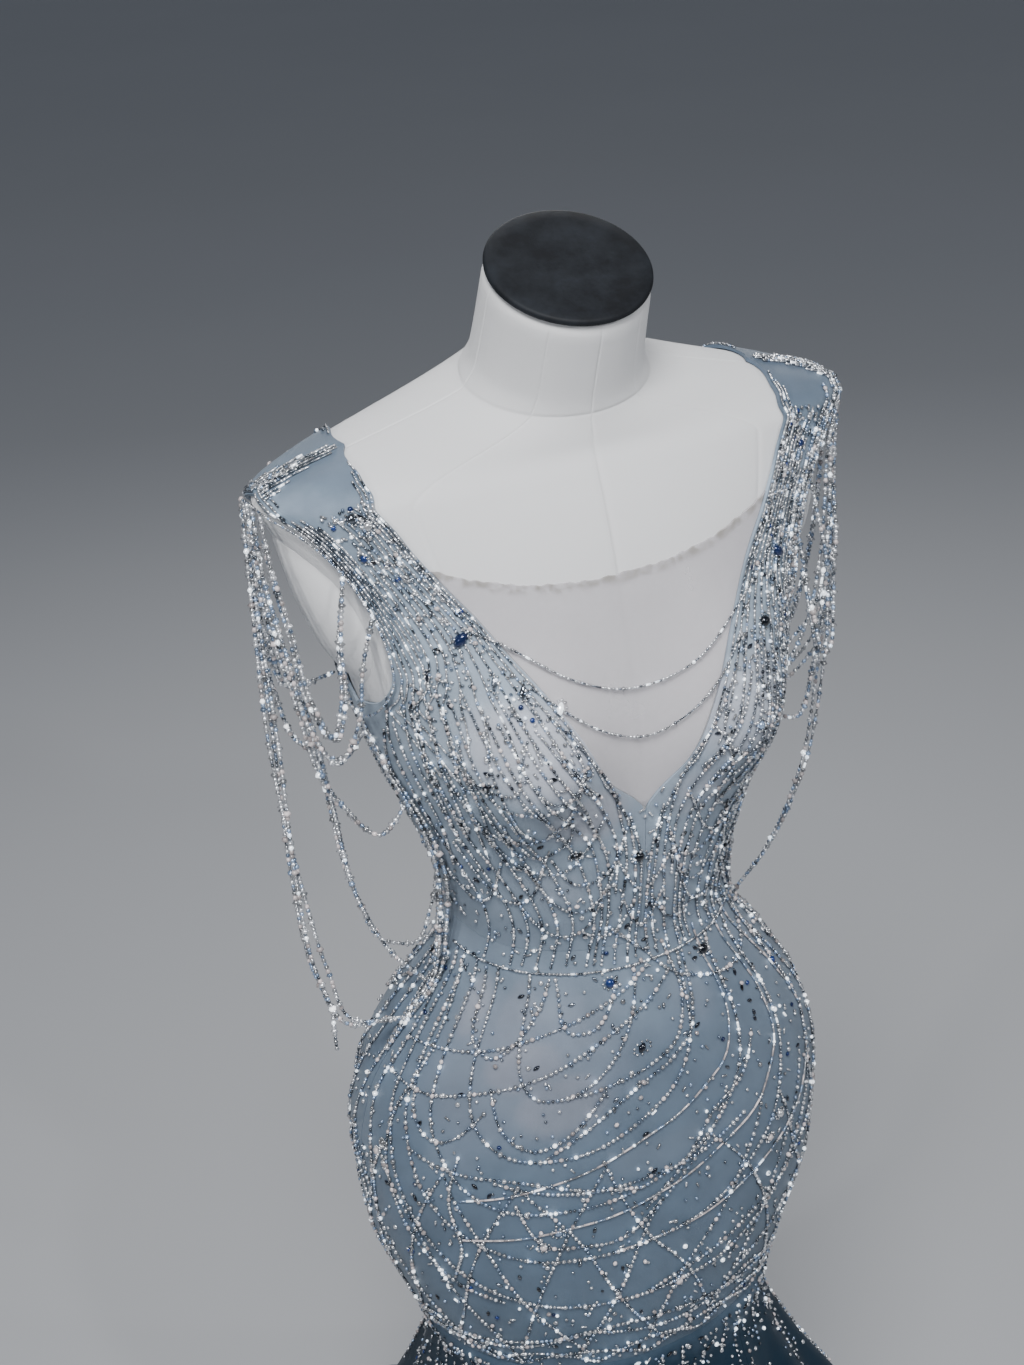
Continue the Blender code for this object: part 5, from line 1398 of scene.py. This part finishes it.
runs = [strung(*on_cloth(knots, FESTOON_REST), PIPING_KINDS) if k in PIPED
        else strung(*on_cloth(knots, FESTOON_REST), FINE_KINDS, 0.033, gap=SEWN_GAP)
        for k, knots in enumerate(SKIRT_LINES)]
beadwork("skirt_drape_beads", runs)
runs = []
for slope in (1, -1):
    for start in np.arange(-180, 180, LATTICE_STEP):
        start += draw.uniform(-4, 4)
        turn = start + slope * LATTICE_TURNS + draw.uniform(-2, 2, 4)
        fall = np.maximum(LATTICE_FALL + draw.uniform(-0.006, 0.006, 4),
                          flare_seam(turn) + 0.006)
        runs.append(strung(*on_cloth(np.stack([turn, fall], -1), BEAD_REST), FINE_KINDS,
                           gap=2 * SEWN_GAP))
turn = np.arange(-180, 181, 4.0)
a = np.radians(turn)
falls = [LEVEL_ROW - depth * np.abs(np.sin(lobes * a / 2 + phase))
         for lobes, phase, depth in ((4, 0.4, 0.010), (7, 1.3, 0.016))]
falls += [flare_seam(turn) + SEAM_CLEAR + 0.014 * np.abs(np.cos(lobes * a / 2 + phase))
          for lobes, phase in ((11, 0.3), (9, 1.9))]
runs += [strung(*on_cloth(np.stack([turn, fall], -1), FESTOON_REST), FINE_KINDS, BIG_EVERY,
                gap=SEWN_GAP) for fall in falls]
beadwork("hip_lattice_beads", runs)

# -------------------------------------------------------------- scattered stones
# Single beads, leaf-shaped and round stones are sewn between the strands, thick
# over the bust and waist and thinning out towards the hem.
SINGLE_KINDS = (
    (0, 0.0026, 0.0028, 0, 0.36),
    (1, 0.0046, 0.0018, 0, 0.14),
    (0, 0.0024, 0.0026, 1, 0.16),
    (0, 0.0022, 0.0024, 2, 0.10),
    (2, 0.0062, 0.0032, 5, 0.055),
    (2, 0.0060, 0.0032, 2, 0.05),
    (3, 0.0038, 0.0038, 4, 0.02),
    (3, 0.0042, 0.0042, 0, 0.06),
    (0, 0.0036, 0.0036, 3, 0.03))
SINGLES = 2500
SINGLES_FROM, SINGLES_RISE = 0.66, 0.51
SINGLES_A_HALF = 300     # more on each half of the bodice
RING_CLEAR = 0.0010
RING_BEAD = (0, 0.0019, 0.0020, 0)
STONE_HEIGHT = 0.45      # of a stone's width, as is a round bead's middle
FULL_TURN = 2 * np.pi
BIG_STONES = (           # angle, level, shape, length, width, tone, turn in degrees
    (-37, 1.297, 2, 0.0130, 0.0085, 4, 40), (-13, 1.012, 3, 0.0072, 0.0072, 4, 0),
    (27, 1.010, 3, 0.0085, 0.0085, 5, 0), (-3, 0.958, 2, 0.0085, 0.0060, 5, 60),
    (-50, 1.272, 2, 0.0100, 0.0042, 5, 70), (-33, 1.268, 2, 0.0105, 0.0044, 2, 70),
    (-27, 1.262, 2, 0.0110, 0.0046, 2, 65), (-20, 1.248, 2, 0.0095, 0.0052, 0, 60),
    (-45, 1.200, 2, 0.0100, 0.0045, 5, 30), (-52, 1.355, 3, 0.0055, 0.0055, 4, 0),
    (-50, 1.382, 3, 0.0070, 0.0070, 2, 0), (-47, 1.376, 3, 0.0066, 0.0066, 0, 0),
    (-18, 1.205, 3, 0.0058, 0.0058, 1, 0), (-22, 1.130, 2, 0.0080, 0.0050, 5, 20),
    (-2, 1.118, 3, 0.0080, 0.0080, 5, 0), (44, 1.300, 2, 0.0130, 0.0085, 4, -40),
    (36, 1.262, 3, 0.0085, 0.0085, 5, 0), (50, 1.365, 3, 0.0060, 0.0060, 4, 0),
    (30, 1.205, 3, 0.0060, 0.0060, 1, 0), (-80, 0.862, 3, 0.0060, 0.0060, 3, 0),
    (-76, 0.856, 3, 0.0055, 0.0055, 3, 0), (-78, 0.872, 3, 0.0052, 0.0052, 0, 0),
    (60, 0.952, 3, 0.0060, 0.0060, 4, 0), (-28, 0.800, 3, 0.0062, 0.0062, 3, 0),
    (-24, 0.812, 3, 0.0060, 0.0060, 1, 0), (4, 0.726, 3, 0.0070, 0.0070, 3, 0),
    (34, 0.842, 3, 0.0075, 0.0075, 0, 0), (30, 0.826, 3, 0.0060, 0.0060, 3, 0),
    (150, 1.250, 2, 0.0110, 0.0060, 4, 30), (210, 1.250, 2, 0.0110, 0.0060, 4, -30),
    (165, 1.110, 3, 0.0080, 0.0080, 5, 0), (195, 1.060, 3, 0.0080, 0.0080, 0, 0))


def sewn(angle, level, turn, kinds, place=over_cloth):
    """Beads sewn one by one: each lies along cos(turn) across + sin(turn) up, and a
    stone sits with its flat back on the cloth."""
    shape, length, width, tone = kinds.T[:4]
    size = np.stack([length, width, np.where(shape < 2, width, STONE_HEIGHT * width)], -1)
    base = place(angle, level, np.where(shape < 2, STONE_HEIGHT * width, 0.0))
    across = unit(place(angle + 0.2, level) - place(angle - 0.2, level))
    rise = unit(place(angle, level + 0.001) - place(angle, level - 0.001))
    rise = rise * np.sign(rise[:, 2:])
    along = np.cos(turn)[:, None] * across + np.sin(turn)[:, None] * rise
    return shape.astype(int), base, along, np.cross(across, rise), size, tones(tone)


def ringed(angle, level, length, width, turn):
    """A ring of small round beads round each big stone, just outside its outline."""
    around = np.linspace(0, 2 * np.pi, 10, endpoint=False)[None, :]
    reach = np.degrees(1.0) / np.linalg.norm(over_cloth(angle, level)[:, :2], axis=1)
    x = (length[:, None] / 2 + RING_CLEAR) * np.cos(around)
    y = (width[:, None] / 2 + RING_CLEAR) * np.sin(around)
    c, s = np.cos(turn)[:, None], np.sin(turn)[:, None]
    return sewn((angle[:, None] + (x * c - y * s) * reach[:, None]).ravel(),
                (level[:, None] + x * s + y * c).ravel(), np.zeros(x.size),
                np.tile(np.array([RING_BEAD]), (x.size, 1)))


def drawn(angle, level, turn, place=over_cloth):
    """Single beads of kinds drawn by weight."""
    return sewn(angle, level, turn, kinds[draw.choice(len(kinds), len(angle), p=chance)],
                place)


stones = np.array(BIG_STONES, float)
angle, level, _, length, width, _, turn = stones.T
turn = np.radians(turn)
beadwork("big_stones", [sewn(angle, level, turn, stones[:, 2:6]),
                        ringed(angle, level, length, width, turn)])

kinds = np.array(SINGLE_KINDS)
chance = kinds[:, 4] / kinds[:, 4].sum()
angle = draw.uniform(-180, 180, SINGLES)
level = np.maximum(SINGLES_FROM + SINGLES_RISE * draw.uniform(0, 1, SINGLES) ** 1.1,
                   flare_seam(angle) + SEAM_CLEAR)
runs = [drawn(angle, level, draw.uniform(0, FULL_TURN, SINGLES))]
row = draw.uniform(4, 12.2, SINGLES_A_HALF)
share = 0.04 + 0.60 * draw.uniform(0, 1, row.size) ** 1.3
for word, mirror, back, rows in HALVES:
    angle, level = bodice_place(rows, mirror, back, row, share)
    runs.append(drawn(angle, level, np.radians(90 - 50 * mirror)
                      + draw.normal(0, 0.35, row.size)))
beadwork("scattered_beads", runs)

# ---------------------------------------------------------- beads on the flare
# Short strands run down from the seam and single beads thin out towards the hem.
FLARE_STRANDS = 46
FLARE_BEADS = 1900


def on_flare(angle, down, out=0.0):
    """Point over the flare's outer face, down from 0 at the seam to 1 at the hem."""
    return flare_wall(np.asarray(angle, float), np.asarray(down, float), WALL / 2 + out)


runs = []
for start in np.linspace(-180, 180, FLARE_STRANDS, endpoint=False):
    down = np.linspace(0.012, draw.uniform(0.10, 0.42), 120)
    angle = start + draw.uniform(-2, 2) + 3.0 * np.sin(5 * down + start) * down
    path = on_flare(angle, down, BEAD_REST)
    runs.append(strung(path, path - (0.0, 0.0, 1.0), FINE_KINDS,
                       gap=draw.uniform(2, 9) * SEWN_GAP))
down = 0.02 + 0.95 * draw.uniform(0, 1, FLARE_BEADS) ** 1.9
runs.append(drawn(draw.uniform(-180, 180, FLARE_BEADS), down,
                  draw.uniform(0, FULL_TURN, FLARE_BEADS), on_flare))
beadwork("flare_beads", runs)

# --------------------------------------------------------------------------- zip
# A fine metal zip closes the centre back, its slider at the top with a pull tab.
ZIP_TOP, ZIP_FOOT, PITCH = 1.190, 0.880, 0.0014
TOOTH = (0.0024, 0.0009, 0.0010)     # across, out and up
STAGGER = 0.0005
zip_metal, tree, shader = new_material("zip metal", (0.62, 0.65, 0.70), 0.28, 1.0)
rub = noise(tree, object_place(tree), 900.0, 3.0)
feed(tree, shader, {"Roughness": mapped(tree, rub, (0.18, 0.42))})
for node in ("zip_slider", "zip_pull"):
    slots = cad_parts[node].data.materials
    slots.clear()
    slots.append(zip_metal)
level = np.arange(ZIP_FOOT, ZIP_TOP, PITCH)
tooth = np.stack(np.meshgrid(*((-0.5, 0.5),) * 3, indexing="ij"), -1).reshape(-1, 3) * TOOTH
sides = np.array([(0, 1, 3, 2), (4, 6, 7, 5), (0, 4, 5, 1), (2, 3, 7, 6), (0, 2, 6, 4),
                  (1, 5, 7, 3)])
base = over_cloth(np.full(level.shape, 180.0), level, TOOTH[1] / 2)
base[:, 0] = STAGGER * (-1.0) ** np.arange(len(level))
faces = sides[None] + (8 * np.arange(len(level)))[:, None, None]
add_piece("zip_teeth", base[:, None] + tooth, faces.reshape(-1, 4), zip_metal, "zip_metal",
          sharp=0)
